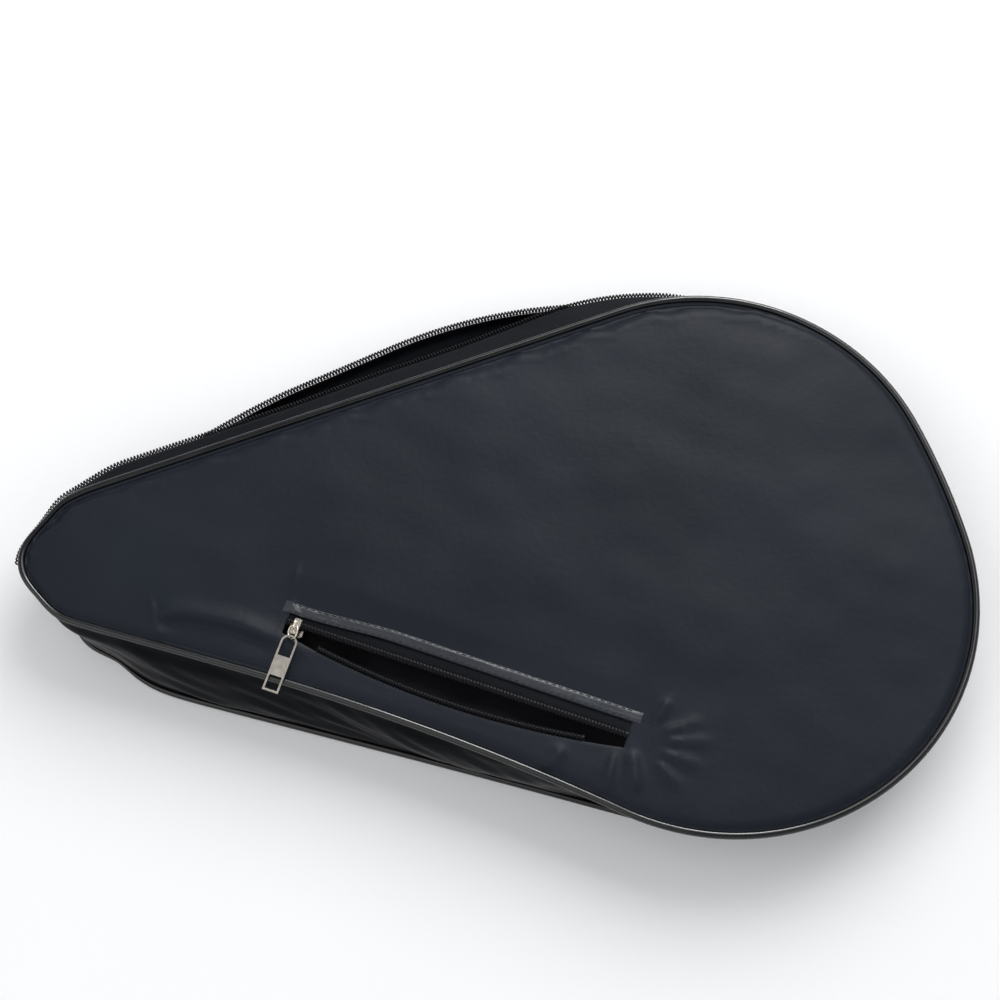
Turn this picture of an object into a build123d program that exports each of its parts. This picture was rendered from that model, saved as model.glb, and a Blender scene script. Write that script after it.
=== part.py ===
from build123d import *
import math
import os

# Soft cover for a padel racket, lying on its back panel. Millimetres, +Z up, +X towards the round head.
# The front and back panels are joined by a gusset all round. Along the upper edge the gusset is split
# by the main zip, which is open. The front panel has an open zip pocket.

# ---- driving dimensions: plan outlines, walked counter-clockwise from the lower end of the narrow tip ----
FRONT_START = (-223.0, -38.0, -15.7)      # x, y and heading in degrees
FRONT_DIP = (1340.0, -9.2)                # radius and sweep of the hollow in the lower flank
FRONT_BASE = (129.2, 128.3)               # lower half of the head
FRONT_SIDE = (375.0, 10.5)                # flatter far end of the head
FRONT_CROWN = (123.5, 86.9)               # upper half of the head
FRONT_TIP_R = 36.4
BACK_START = (-192.7, -59.0, -14.4)
BACK_DIP = (9000.0, -0.9)
BACK_BASE = (138.0, 118.7)
BACK_SIDE = (138.0, 10.5)
BACK_CROWN = (138.0, 88.7)
BACK_TIP_R = 47.0

# ---- driving dimensions: layers ----
TOP = 48.0                                # outer face of the front panel
SKIN = 1.5
FOAM = 2.4
LINING = 0.5
BACK_SKIN = 1.2
BACK_FOAM = 2.2
PIPING_R = 1.9
PIPING_Z = TOP - 1.4
BACK_PIPING_Z = PIPING_R + 0.3
SKIN_INSET = PIPING_R + 0.1
WALL = 1.6                                # gusset fabric with its thin padding
WALL_INSET = 0.6
FOAM_INSET = 3.4
BINDING = 0.7
BINDING_INSET = 2.6
BINDING_H = 1.9                           # on the front seam
BACK_BINDING_H = 2.8
SEAM_CLEAR = 0.2

# ---- driving dimensions: main zip ----
ZIP_R = 119.0                             # arc that the slider follows, about the centre of the crown
ZIP_START = 39.5                          # direction from that centre, degrees
ZIP_ARC_END = 70.0
BACK_LEAD = 5.0                           # turns a direction on the front crown into the back one's
GUSSET_END = 35.0
TAB_START = 35.4
TAB_SWEEP = 3.2
TAB = 1.2
TAB_SIDE = 1.4                            # inside the outline at the head, outside it at the tip
TAB_MARGIN = 0.75
TIP_TAB_SWEEP = 24.0
TIP_TAB_H = 20.0
SLIDER_REST = 44.0
SLIDER_TRAVEL = 22.0
TAPE = 0.7
COIL_W = 2.6
COIL_H = 2.0
COIL_GAP = 0.8                            # coil's inner edge from the middle of the closed zip
CHAIN_Z = 33.5                            # middle of the closed zip
FRONT_SPLAY = 11.5                        # how far the open front half stands out from the straight flank
REAR_COIL_Z = 22.0
REAR_HEADING = 206.0
REAR_POINT = (-72.0, 121.0)               # a point on the straight stretch of the rear half
REAR_END_X = -217.0
SEAM_GAP = 0.6                            # between the zip halves and the gusset at the tip
STRIP_SHARE = 0.62                        # plain fabric below the rear zip tape, as a share of the rise
FOLD_LEFT = (-238.0, 30.0)                # fold line of the front panel when the mouth is opened
FOLD_RIGHT = (203.0, 99.5)
FOLD_GAP = 0.5
FOLD_Z = PIPING_Z + PIPING_R + 0.1

# ---- driving dimensions: pocket ----
POCKET_ORIGIN = (-104.0, -42.0)           # middle of the parked slider
POCKET_ANGLE = -18.8
SLOT_START = -6.0
SLOT_END = 178.0
SLOT_HALF = 5.0
SLOT_TOP = 9.0                            # the zip's line to the mouth's upper edge
SLOT_BOW = 9.0                            # how far the lower lip hangs away from the zip's line
SLOT_TURN = 1.5                           # how much wider the mouth is in the inner layers
WELT_W = 6.0
WELT_T = 0.7
WELT_LAP = 4.0                            # welt past each end of the mouth
LIP_TAPE = 3.4
LIP_START = 14.0
POCKET_TRAVEL = 166.0
BAG_DEPTH = 95.0
BAG_WALL = 0.5
BAG_HEIGHT = 6.1
BAG_MARGIN = 4.0                          # bag past the mouth on three sides

# ---- driving dimensions: zip sliders ----
PLATE_TOP = 2.4                           # above the tape's outer face
PLATE = 0.9
PLATE_UNDER = -1.1
SLIDER_HALF_W = 4.3
SLIDER_HALF_L = 4.0
CAP_HALF_L = 1.9
FLANGE = 0.6
FLANGE_LOW = 0.5                          # gap between the flanges and the tape
POST_HALF_W = 0.6
POST_L = 2.0
CAP_CORNER_R = 1.2
UNDER_CORNER_R = 1.6
ARCH_Z = 6.5                              # middle of the eye that holds the ring
EYE_WALL = 0.9
EYE_ROOM = 1.6                            # from that middle up to the underside of the eye
EYE_HALF = 2.1                            # half width inside the eye
EYE_T = 0.8
RING_R = 3.9
RING_WIRE = 0.5
RING_TWIST = 45.0
MAIN_SLOPE = 0.0                          # how far the ring leans in from straight across the tape
POCKET_SLOPE = 20.0
MAIN_PULL = 20.0
POCKET_PULL = 31.0
POCKET_DROOP = 3.0
PULL_CLEAR = 0.35
PULL_W = 8.6
PULL_BAR = 1.0
PULL_T = 0.7
PULL_WINDOW = 0.24                        # height of a window's straight part, as a share of the length

os.makedirs("parts", exist_ok=True)


def rad(angle):
    return math.radians(angle)


def advance(state, size, sweep):
    """Walk a straight run of length size, or an arc of radius size where sweep isn't zero."""
    x, y, heading = state
    if sweep == 0:
        return (x + size * math.cos(rad(heading)), y + size * math.sin(rad(heading)), heading)
    reach = math.copysign(size, sweep)
    turned = heading + sweep
    x = x - reach * math.sin(rad(heading)) + reach * math.sin(rad(turned))
    y = y + reach * math.cos(rad(heading)) - reach * math.cos(rad(turned))
    return (x, y, turned)


def shifted(state, inset, z):
    """The point beside a place on the outline, inset to its left, which is inwards."""
    x, y, heading = state
    return Vector(x - inset * math.sin(rad(heading)), y + inset * math.cos(rad(heading)), z)


def walk(state, steps):
    for size, sweep in steps:
        state = advance(state, size, sweep)
    return state


def edges_along(state, steps, inset, z):
    edges = []
    for size, sweep in steps:
        begin = shifted(state, inset, z)
        if sweep == 0:
            state = advance(state, size, 0)
            edges.append(Edge.make_line(begin, shifted(state, inset, z)))
        else:
            middle = shifted(advance(state, size, sweep / 2), inset, z)
            state = advance(state, size, sweep)
            edges.append(Edge.make_three_point_arc(begin, middle, shifted(state, inset, z)))
    return edges


def closed_outline(start, dip, base, side, crown, tip_r):
    """All steps of a panel outline. The two straight flanks are as long as it takes to close it."""
    turned = sum(sweep for _, sweep in (dip, base, side, crown))
    tip = (tip_r, 360 - turned)
    end = walk(start, [dip, base, side, crown, tip])
    gap_x = start[0] - end[0]
    gap_y = start[1] - end[1]
    lower = rad(start[2])
    upper = rad(start[2] + turned)
    span = math.sin(upper - lower)
    low_run = (gap_x * math.sin(upper) - gap_y * math.cos(upper)) / span
    high_run = (gap_y * math.cos(lower) - gap_x * math.sin(lower)) / span
    return [(low_run, 0), dip, base, side, crown, (high_run, 0), tip]


FRONT = closed_outline(FRONT_START, FRONT_DIP, FRONT_BASE, FRONT_SIDE, FRONT_CROWN, FRONT_TIP_R)
BACK = closed_outline(BACK_START, BACK_DIP, BACK_BASE, BACK_SIDE, BACK_CROWN, BACK_TIP_R)
CROWN = 4                                 # places of three of an outline's seven steps
HIGH_FLANK = 5
TIP = 6
CROWN_STATE = walk(FRONT_START, FRONT[:CROWN])
CROWN_CENTRE = shifted(CROWN_STATE, FRONT_CROWN[0], 0)


def panel(start, steps, inset, z, height):
    """A flat sheet inside an outline."""
    face = Face(Wire(edges_along(start, steps, inset, z)))
    return extrude(face, height, Vector(0, 0, 1))


def band_wire(start, steps, near, far, z):
    """Closed loop between two parallels of a path, used as one section of a wall."""
    outer = edges_along(start, steps, near, z)
    inner = edges_along(start, steps, far, z)
    finish = walk(start, steps)
    first_cap = Edge.make_line(shifted(start, far, z), shifted(start, near, z))
    last_cap = Edge.make_line(shifted(finish, near, z), shifted(finish, far, z))
    return Wire(outer + [last_cap] + inner + [first_cap])


def wall(sections):
    return Solid.make_loft(sections, True)


def strip(start, steps, near, far, z, height):
    """A wall of constant plan shape."""
    return extrude(Face(band_wire(start, steps, near, far, z)), height, Vector(0, 0, 1))


def cord_along(start, steps, radius, z):
    """A round cord along a path."""
    path = Wire(edges_along(start, steps, 0, z))
    begin = shifted(start, 0, z)
    heading = Vector(math.cos(rad(start[2])), math.sin(rad(start[2])), 0)
    section = Face(Wire(Edge.make_circle(radius, Plane(origin=begin, z_dir=heading))))
    return sweep(section, path)


def fold_side(shape, sign):
    """Keep the flap's side (sign 1) or the fixed side (sign -1) of the fold line."""
    along = math.atan2(FOLD_RIGHT[1] - FOLD_LEFT[1], FOLD_RIGHT[0] - FOLD_LEFT[0])
    across = Vector(-math.sin(along), math.cos(along), 0)
    size = 700.0
    centre = Vector(*FOLD_LEFT, 0) + across * (sign * (size / 2 + FOLD_GAP / 2))
    keeper = Pos(centre) * Rot(0, 0, math.degrees(along)) * Box(2 * size, size, size)
    return shape & keeper


# ---- zip paths ----
def crown_state(direction, radius):
    """The walking state on an arc about the crown's centre, at a direction from that centre."""
    x = CROWN_CENTRE.X + radius * math.cos(rad(direction))
    y = CROWN_CENTRE.Y + radius * math.sin(rad(direction))
    return (x, y, direction + 90)


def run_out(heading, through, end_x):
    """Steps of a zip half: the slider's arc, an easy bend, and a straight run through a point."""
    arc_end = crown_state(ZIP_ARC_END, ZIP_R)
    normal = Vector(-math.sin(rad(arc_end[2])), math.cos(rad(arc_end[2])), 0)
    line_normal = Vector(-math.sin(rad(heading)), math.cos(rad(heading)), 0)
    offset = Vector(arc_end[0] - through[0], arc_end[1] - through[1], 0).dot(line_normal)
    bend = offset / (1 - normal.dot(line_normal))
    bend_end = advance(arc_end, bend, heading - arc_end[2])
    run = (end_x - bend_end[0]) / math.cos(rad(heading))
    return [(ZIP_R, ZIP_ARC_END - ZIP_START), (bend, heading - arc_end[2]), (run, 0)]


ZIP_STATE = crown_state(ZIP_START, ZIP_R)
FLANK_STATE = walk(FRONT_START, FRONT[:HIGH_FLANK])
TIP_STATE = walk(FRONT_START, FRONT[:TIP])
FLANK_OUT = shifted(FLANK_STATE, -FRONT_SPLAY, 0)
TIP_OUT = shifted(TIP_STATE, -FRONT_SPLAY, 0)
FRONT_ZIP = run_out(FLANK_STATE[2], (FLANK_OUT.X, FLANK_OUT.Y), TIP_OUT.X)
REAR_ZIP = run_out(REAR_HEADING, REAR_POINT, REAR_END_X)
COIL_BOTTOM = CHAIN_Z + COIL_GAP
TAPE_BEND_Z = CHAIN_Z + SLIDER_HALF_W + 1.2
TAPE_TOP_Z = PIPING_Z - PIPING_R - SEAM_CLEAR / 2
WALL_LOW_Z = BACK_PIPING_Z + PIPING_R + SEAM_CLEAR


def mouth_steps(edge, crown_r, crown_end, flank):
    """Steps of a panel's edge along the mouth, cut where the zip's own arcs change."""
    first = ZIP_ARC_END - ZIP_START
    return [(crown_r, first), (crown_r, crown_end - edge[2] - first), (flank[0] - SEAM_GAP, 0)]


def back_crown_state(direction):
    """The walking state on the back panel's crown."""
    state = walk(BACK_START, BACK[:CROWN])
    return advance(state, BACK_CROWN[0], direction + 90 - state[2])


# ---- panels, padding and lining ----
def slot_outline(grow, z):
    """The pocket's mouth in the pocket's own frame: straight above, bowed below."""
    left = SLOT_START - grow
    right = SLOT_END + grow
    upper = SLOT_TOP + grow
    lower = -SLOT_HALF - grow
    middle = (left + right) / 2
    edges = [
        Edge.make_line((right, upper, z), (left, upper, z)),
        Edge.make_line((left, upper, z), (left, lower, z)),
        Edge.make_three_point_arc((left, lower, z), (middle, lower - SLOT_BOW, z), (right, lower, z)),
        Edge.make_line((right, lower, z), (right, upper, z)),
    ]
    return Face(Wire(edges))


POCKET_FRAME = Pos(POCKET_ORIGIN[0], POCKET_ORIGIN[1], 0) * Rot(0, 0, POCKET_ANGLE)


def slot_cutter(grow):
    depth = 20
    return POCKET_FRAME * extrude(slot_outline(grow, TOP - depth), 2 * depth, Vector(0, 0, 1))


def front_layers():
    """Skin, foam and lining of the front panel, cut by the fold line and by the pocket's mouth."""
    foam_z = TOP - SKIN - FOAM
    skin = panel(FRONT_START, FRONT, SKIN_INSET, TOP - SKIN, SKIN)
    foam = panel(FRONT_START, FRONT, FOAM_INSET, foam_z, FOAM)
    lining = panel(FRONT_START, FRONT, FOAM_INSET, foam_z - LINING, LINING)
    skin_cut = slot_cutter(0)
    inner_cut = slot_cutter(SLOT_TURN)
    return {
        "front_panel_lower": fold_side(skin, -1) - skin_cut,
        "front_panel_upper": fold_side(skin, 1),
        "front_padding_lower": fold_side(foam, -1) - inner_cut,
        "front_padding_upper": fold_side(foam, 1),
        "front_lining_lower": fold_side(lining, -1) - inner_cut,
        "front_lining_upper": fold_side(lining, 1),
    }


def back_layers():
    return {
        "back_panel": panel(BACK_START, BACK, SKIN_INSET, 0, BACK_SKIN),
        "back_padding": panel(BACK_START, BACK, FOAM_INSET, BACK_SKIN, BACK_FOAM),
        "back_lining": panel(BACK_START, BACK, FOAM_INSET, BACK_SKIN + BACK_FOAM, LINING),
    }


def pipings():
    front = cord_along(FRONT_START, FRONT, PIPING_R, PIPING_Z)
    return {
        "front_piping_lower": fold_side(front, -1),
        "front_piping_upper": fold_side(front, 1),
        "back_piping": cord_along(BACK_START, BACK, PIPING_R, BACK_PIPING_Z),
    }


def binding(start, steps, z, height):
    outer = panel(start, steps, BINDING_INSET, z, height)
    return outer - panel(start, steps, BINDING_INSET + BINDING, z, height)


def bindings():
    """Narrow tapes that cover the raw seam edges inside the case."""
    front = binding(FRONT_START, FRONT, TAPE_TOP_Z - SEAM_CLEAR, BINDING_H)
    back = binding(BACK_START, BACK, BACK_SKIN + SEAM_CLEAR, BACK_BINDING_H)
    return {
        "seam_binding_front": fold_side(front, -1),
        "seam_binding_flap": fold_side(front, 1),
        "seam_binding_back": back,
    }


# ---- gusset and zip halves ----
def lower_gusset():
    """The long wall from the narrow tip, round the lower edge, to the end of the zip."""
    front_last = (FRONT_CROWN[0], GUSSET_END + 90 - CROWN_STATE[2])
    back_last = (BACK_CROWN[0], GUSSET_END + BACK_LEAD + 90 - walk(BACK_START, BACK[:CROWN])[2])
    front_steps = [FRONT[TIP]] + FRONT[:CROWN] + [front_last]
    back_steps = [BACK[TIP]] + BACK[:CROWN] + [back_last]
    low = band_wire(walk(BACK_START, BACK[:TIP]), back_steps, WALL_INSET, WALL_INSET + WALL, WALL_LOW_Z)
    high = band_wire(TIP_STATE, front_steps, WALL_INSET, WALL_INSET + WALL, TAPE_TOP_Z)
    return wall([low, high])


def front_zip():
    """Front half of the main zip: tape from the seam to the coil, standing out along the flank."""
    edge = crown_state(ZIP_START, FRONT_CROWN[0])
    edge_steps = mouth_steps(edge, FRONT_CROWN[0], FLANK_STATE[2], FRONT[HIGH_FLANK])
    tape = wall([
        band_wire(edge, edge_steps, WALL_INSET, WALL_INSET + TAPE, TAPE_TOP_Z),
        band_wire(ZIP_STATE, FRONT_ZIP, -TAPE, 0, TAPE_BEND_Z),
        band_wire(ZIP_STATE, FRONT_ZIP, -TAPE, 0, COIL_BOTTOM),
    ])
    coil = strip(ZIP_STATE, FRONT_ZIP, -TAPE - 0.05 - COIL_H, -TAPE - 0.05, COIL_BOTTOM, COIL_W)
    return {"front_zip_tape": tape, "front_zip_coil": coil}


def rear_zip():
    """Fabric strip on the back panel's edge, with the rear half of the main zip on top of it."""
    edge = back_crown_state(ZIP_START + BACK_LEAD)
    crown_end = walk(BACK_START, BACK[:HIGH_FLANK])[2]
    edge_steps = mouth_steps(edge, BACK_CROWN[0], crown_end, BACK[HIGH_FLANK])
    bend_z = REAR_COIL_Z - 3.4
    band = wall([
        band_wire(edge, edge_steps, WALL_INSET, WALL_INSET + WALL, WALL_LOW_Z),
        band_wire(ZIP_STATE, REAR_ZIP, -TAPE, 0.4, bend_z),
        band_wire(ZIP_STATE, REAR_ZIP, -TAPE, 0, REAR_COIL_Z + COIL_W),
    ])
    seam_z = WALL_LOW_Z + STRIP_SHARE * (bend_z - WALL_LOW_Z)
    size = 700.0
    below = Pos(0, 0, seam_z - size / 2) * Box(size, size, size)
    above = Pos(0, 0, seam_z + 0.02 + size / 2) * Box(size, size, size)
    coil = strip(ZIP_STATE, REAR_ZIP, -TAPE - 0.05 - COIL_H, -TAPE - 0.05, REAR_COIL_Z, COIL_W)
    return {"rear_gusset_strip": band & below, "rear_zip_tape": band & above, "rear_zip_coil": coil}


def end_tabs():
    """Fabric tabs that close the gusset at the two ends of the main zip."""
    head_state = crown_state(TAB_START, FRONT_CROWN[0])
    head_h = TAPE_TOP_Z - WALL_LOW_Z - 2 * TAB_MARGIN
    head = strip(head_state, [(FRONT_CROWN[0], TAB_SWEEP)], TAB_SIDE, TAB_SIDE + TAB,
                 WALL_LOW_Z + TAB_MARGIN, head_h)
    tip = strip(TIP_STATE, [(FRONT_TIP_R, TIP_TAB_SWEEP)], -TAB_SIDE - TAB, -TAB_SIDE, REAR_COIL_Z,
                TIP_TAB_H)
    return {"zip_end_tab_head": head, "zip_end_tab_tip": tip}


# ---- pocket ----
TAPE_FACE_Z = TOP - SKIN + 0.1 + TAPE     # outer face of the pocket's zip tape


def pocket_zip():
    """Welt, upper zip half on the straight edge and lower zip half on the bowed lip."""
    length = SLOT_END - SLOT_START
    middle = (SLOT_START + SLOT_END) / 2
    tape_z = TAPE_FACE_Z - TAPE / 2
    coil_z = TAPE_FACE_Z + 0.05 + COIL_H / 2
    upper_tape = Pos(middle, (COIL_GAP + SLOT_TOP) / 2, tape_z) * Box(length, SLOT_TOP - COIL_GAP, TAPE)
    upper_coil = Pos(middle, COIL_GAP + COIL_W / 2, coil_z) * Box(length, COIL_W, COIL_H)
    welt_y = SLOT_TOP + 0.3 + WELT_W / 2
    welt = Pos(middle, welt_y, TOP + 0.05 + WELT_T / 2) * Box(length + 2 * WELT_LAP, WELT_W, WELT_T)
    bow_r = ((length / 2) ** 2 + SLOT_BOW ** 2) / (2 * SLOT_BOW)
    centre = (middle, -SLOT_HALF - SLOT_BOW + bow_r)
    reach = math.degrees(math.asin((middle - LIP_START) / bow_r))
    start_x = centre[0] - bow_r * math.sin(rad(reach))
    start_y = centre[1] - bow_r * math.cos(rad(reach))
    lip_state = (start_x, start_y, -reach)
    lip_steps = [(bow_r, 2 * reach)]
    lower_tape = strip(lip_state, lip_steps, 0.05, LIP_TAPE, TAPE_FACE_Z - TAPE, TAPE)
    lower_coil = strip(lip_state, lip_steps, LIP_TAPE - COIL_W, LIP_TAPE, TAPE_FACE_Z + 0.05, COIL_H)
    return {
        "pocket_welt": POCKET_FRAME * welt,
        "pocket_upper_tape": POCKET_FRAME * upper_tape,
        "pocket_upper_coil": POCKET_FRAME * upper_coil,
        "pocket_lower_tape": POCKET_FRAME * lower_tape,
        "pocket_lower_coil": POCKET_FRAME * lower_coil,
    }


def pocket_bag():
    """Flat bag under the front panel: a front sheet cut at the pocket's mouth and a shallow rear tray."""
    left = SLOT_START - BAG_MARGIN
    right = SLOT_END + BAG_MARGIN
    low = -SLOT_HALF - SLOT_BOW - BAG_MARGIN
    top_z = TOP - SKIN - FOAM - LINING - 0.1
    tray_h = BAG_HEIGHT - BAG_WALL
    centre = Pos((left + right) / 2, (low + BAG_DEPTH) / 2, top_z)
    front = centre * Pos(0, 0, -BAG_WALL / 2) * Box(right - left, BAG_DEPTH - low, BAG_WALL)
    front -= extrude(slot_outline(SLOT_TURN, top_z - 2), 4, Vector(0, 0, 1))
    tray = centre * Pos(0, 0, -BAG_WALL - tray_h / 2) * Box(right - left, BAG_DEPTH - low, tray_h)
    hollow = Box(right - left - 2 * BAG_WALL, BAG_DEPTH - low - 2 * BAG_WALL, tray_h)
    tray -= centre * Pos(0, 0, -tray_h / 2) * hollow
    return {"pocket_bag_front": POCKET_FRAME * front, "pocket_bag_rear": POCKET_FRAME * tray}


# ---- zip sliders, drawn at the origin: +X along the zip, +Y across it, +Z out of the tape ----
def slider_eye():
    """An upright loop across the slider, round at the top."""
    base_z = PLATE_TOP + PLATE
    round_z = ARCH_Z + EYE_ROOM - EYE_HALF
    leg_h = round_z - base_z
    outer = Pos(0, 0, round_z) * Rot(0, 90, 0) * Cylinder(EYE_HALF + EYE_WALL, EYE_T)
    inner = Pos(0, 0, round_z) * Rot(0, 90, 0) * Cylinder(EYE_HALF, EYE_T)
    outer += Pos(0, 0, base_z + leg_h / 2) * Box(EYE_T, 2 * (EYE_HALF + EYE_WALL), leg_h)
    inner += Pos(0, 0, base_z + leg_h / 2) * Box(EYE_T, 2 * EYE_HALF, leg_h)
    return outer - inner


def slider():
    """Two plates joined by a post between the coils, with an eye on top."""
    cap_z = PLATE_TOP + PLATE / 2
    cap = Pos(0, 0, cap_z) * Box(2 * CAP_HALF_L, 2 * SLIDER_HALF_W, PLATE)
    cap = fillet(cap.edges().filter_by(Axis.Z), CAP_CORNER_R)
    under_z = PLATE_UNDER - PLATE / 2
    under = Pos(0, 0, under_z) * Box(2 * SLIDER_HALF_L, 2 * SLIDER_HALF_W, PLATE)
    under = fillet(under.edges().filter_by(Axis.Z), UNDER_CORNER_R)
    post_h = PLATE_TOP - PLATE_UNDER
    post_x = POST_L - SLIDER_HALF_L
    post = Pos(post_x, 0, PLATE_TOP - post_h / 2) * Box(POST_L, 2 * POST_HALF_W, post_h)
    rail_h = PLATE_TOP - FLANGE_LOW
    rail_y = SLIDER_HALF_W - FLANGE / 2
    rails = [Pos(0, side * rail_y, PLATE_TOP - rail_h / 2) * Box(2 * CAP_HALF_L, FLANGE, rail_h)
             for side in (-1, 1)]
    return cap + under + post + rails[0] + rails[1] + slider_eye()


def ring_axes(slope, twist):
    """Ring centre, its direction towards the eye, and its wire's direction in the eye."""
    towards = Vector(0, math.cos(rad(slope)), math.sin(rad(slope)))
    lift = Vector(0, -math.sin(rad(slope)), math.cos(rad(slope)))
    wire = Vector(math.cos(rad(twist)), 0, 0) + lift * math.sin(rad(twist))
    centre = Vector(0, 0, ARCH_Z) - towards * RING_R
    return centre, towards, wire


def ring(slope, twist):
    centre, towards, wire = ring_axes(slope, twist)
    plane = Plane(origin=centre, x_dir=wire, z_dir=wire.cross(towards))
    return plane * Torus(RING_R, RING_WIRE)


def pull_pivot(slope, twist):
    """Middle of the pull's top bar, just inside the far side of the ring."""
    centre, towards, _ = ring_axes(slope, twist)
    return centre - towards * (RING_R - RING_WIRE - PULL_BAR / 2 - PULL_CLEAR)


def pull(pivot, length, droop):
    """Flat frame with a round top, a solid plate across the middle and an open window at each end."""
    half = PULL_W / 2
    top_r = half
    outline = Pos(0, -length / 2, 0) * Box(PULL_W, length, PULL_T)
    outline = outline - Pos(0, -top_r / 2, 0) * Box(PULL_W + 2, top_r, PULL_T)
    outline = outline + Pos(0, -top_r, 0) * Cylinder(top_r, PULL_T)
    inner_r = top_r - PULL_BAR
    window_h = PULL_WINDOW * length
    upper = Pos(0, -top_r, 0) * Cylinder(inner_r, PULL_T)
    upper += Pos(0, -top_r - window_h / 2, 0) * Box(2 * inner_r, window_h, PULL_T)
    lower = Pos(0, -length + PULL_BAR + window_h / 2, 0) * Box(2 * inner_r, window_h, PULL_T)
    frame = outline - upper - lower
    return Pos(pivot) * Rot(droop, 0, 0) * Pos(0, PULL_BAR / 2, 0) * frame


def slider_set(prefix, place, slope, length, droop):
    pivot = pull_pivot(slope, RING_TWIST)
    return {
        prefix + "_slider": place * slider(),
        prefix + "_ring": place * ring(slope, RING_TWIST),
        prefix + "_pull": place * pull(pivot, length, droop),
    }


def main_slider_place():
    """At rest on the slider's arc: local X back along the zip, local Y up, local Z outwards."""
    out = Vector(math.cos(rad(SLIDER_REST)), math.sin(rad(SLIDER_REST)), 0)
    along = Vector(-out.Y, out.X, 0)
    origin = CROWN_CENTRE + out * (ZIP_R + TAPE) + Vector(0, 0, CHAIN_Z)
    return Plane(origin=origin, x_dir=along, z_dir=out).location


def pocket_slider_place():
    return POCKET_FRAME * Pos(0, 0, TAPE_FACE_Z)


def joint_values():
    """Print the axes and pivots that the joints turn about, in millimetres."""
    along = Vector(FOLD_RIGHT[0] - FOLD_LEFT[0], FOLD_RIGHT[1] - FOLD_LEFT[1], 0).normalized()
    print("flap: axis", along, "through", FOLD_LEFT, FOLD_Z)
    print("main slider: about Z through", CROWN_CENTRE, "for", SLIDER_TRAVEL, "degrees")
    print("pocket slider: along the mouth for", POCKET_TRAVEL)
    places = (("main", main_slider_place(), MAIN_SLOPE), ("pocket", pocket_slider_place(), POCKET_SLOPE))
    for name, place, slope in places:
        _, _, wire = ring_axes(slope, RING_TWIST)
        origin = place.position
        print(name, "ring: axis", (place * Pos(wire)).position - origin,
              "through", (place * Pos(0, 0, ARCH_Z)).position)
        print(name, "pull: axis", (place * Pos(1, 0, 0)).position - origin,
              "through", (place * Pos(pull_pivot(slope, RING_TWIST))).position)


parts = {}
parts.update(back_layers())
parts.update(front_layers())
parts.update(pipings())
parts.update(bindings())
parts["lower_gusset"] = lower_gusset()
parts.update(front_zip())
parts.update(rear_zip())
parts.update(end_tabs())
parts.update(pocket_zip())
parts.update(pocket_bag())
parts.update(slider_set("main", main_slider_place(), MAIN_SLOPE, MAIN_PULL, 0))
parts.update(slider_set("pocket", pocket_slider_place(), POCKET_SLOPE, POCKET_PULL, POCKET_DROOP))
joint_values()

for name, shape in parts.items():
    export_step(shape, "parts/" + name + ".step")
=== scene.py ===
import math

import bpy
import numpy as np
from mathutils import Matrix, Vector
from mathutils.geometry import delaunay_2d_cdt


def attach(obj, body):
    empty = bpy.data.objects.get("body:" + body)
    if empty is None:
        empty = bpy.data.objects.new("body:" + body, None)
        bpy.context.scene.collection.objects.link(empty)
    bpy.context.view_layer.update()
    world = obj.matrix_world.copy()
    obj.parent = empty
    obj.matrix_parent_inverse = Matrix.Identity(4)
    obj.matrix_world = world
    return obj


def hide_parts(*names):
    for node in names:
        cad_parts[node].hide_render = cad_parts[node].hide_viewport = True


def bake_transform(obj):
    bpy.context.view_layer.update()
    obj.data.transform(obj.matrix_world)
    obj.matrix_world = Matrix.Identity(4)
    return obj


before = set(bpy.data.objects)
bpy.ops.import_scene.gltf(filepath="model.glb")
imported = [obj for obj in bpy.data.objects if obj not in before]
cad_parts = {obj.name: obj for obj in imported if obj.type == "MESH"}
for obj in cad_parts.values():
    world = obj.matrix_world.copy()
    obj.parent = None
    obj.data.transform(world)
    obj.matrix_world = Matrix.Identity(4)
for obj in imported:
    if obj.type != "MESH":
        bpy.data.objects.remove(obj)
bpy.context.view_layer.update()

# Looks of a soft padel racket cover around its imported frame. Until a mesh is made, sizes and places
# are in millimetres in the frame's axes: +X towards the round head, +Y towards the mouth, +Z up.
MM = 0.001
TURN = 2 * math.pi

# ---- plan outlines, as in the frame: (radius, sweep) of each arc, walked counter-clockwise ----
FRONT_START = (-223.0, -38.0, -15.7)
FRONT_ARCS = ((1340.0, -9.2), (129.2, 128.3), (375.0, 10.5), (123.5, 86.9))
FRONT_TIP_R = 36.4
BACK_START = (-192.7, -59.0, -14.4)
BACK_ARCS = ((9000.0, -0.9), (138.0, 118.7), (138.0, 10.5), (138.0, 88.7))
BACK_TIP_R = 47.0
CROWN = 4
HIGH_FLANK = 5
TIP = 6

# ---- heights ----
PIPING_R = 1.9
PIPING_Z = 46.6
BACK_PIPING_Z = 2.2
RIM_Z = 46.75                 # top of the front panel where it meets its piping
RIM_INSET = 2.0
FLAT_Z = 48.0                 # top of the front panel beside the pocket
FOAM_LOW_Z = 44.15
SEAM_Z = 44.6                 # where the gusset and the zip tape leave the front seam
WALL_LOW_Z = 4.3
SETTLE_Z = 44.0               # at and above this height the front's pinch counts in full

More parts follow.
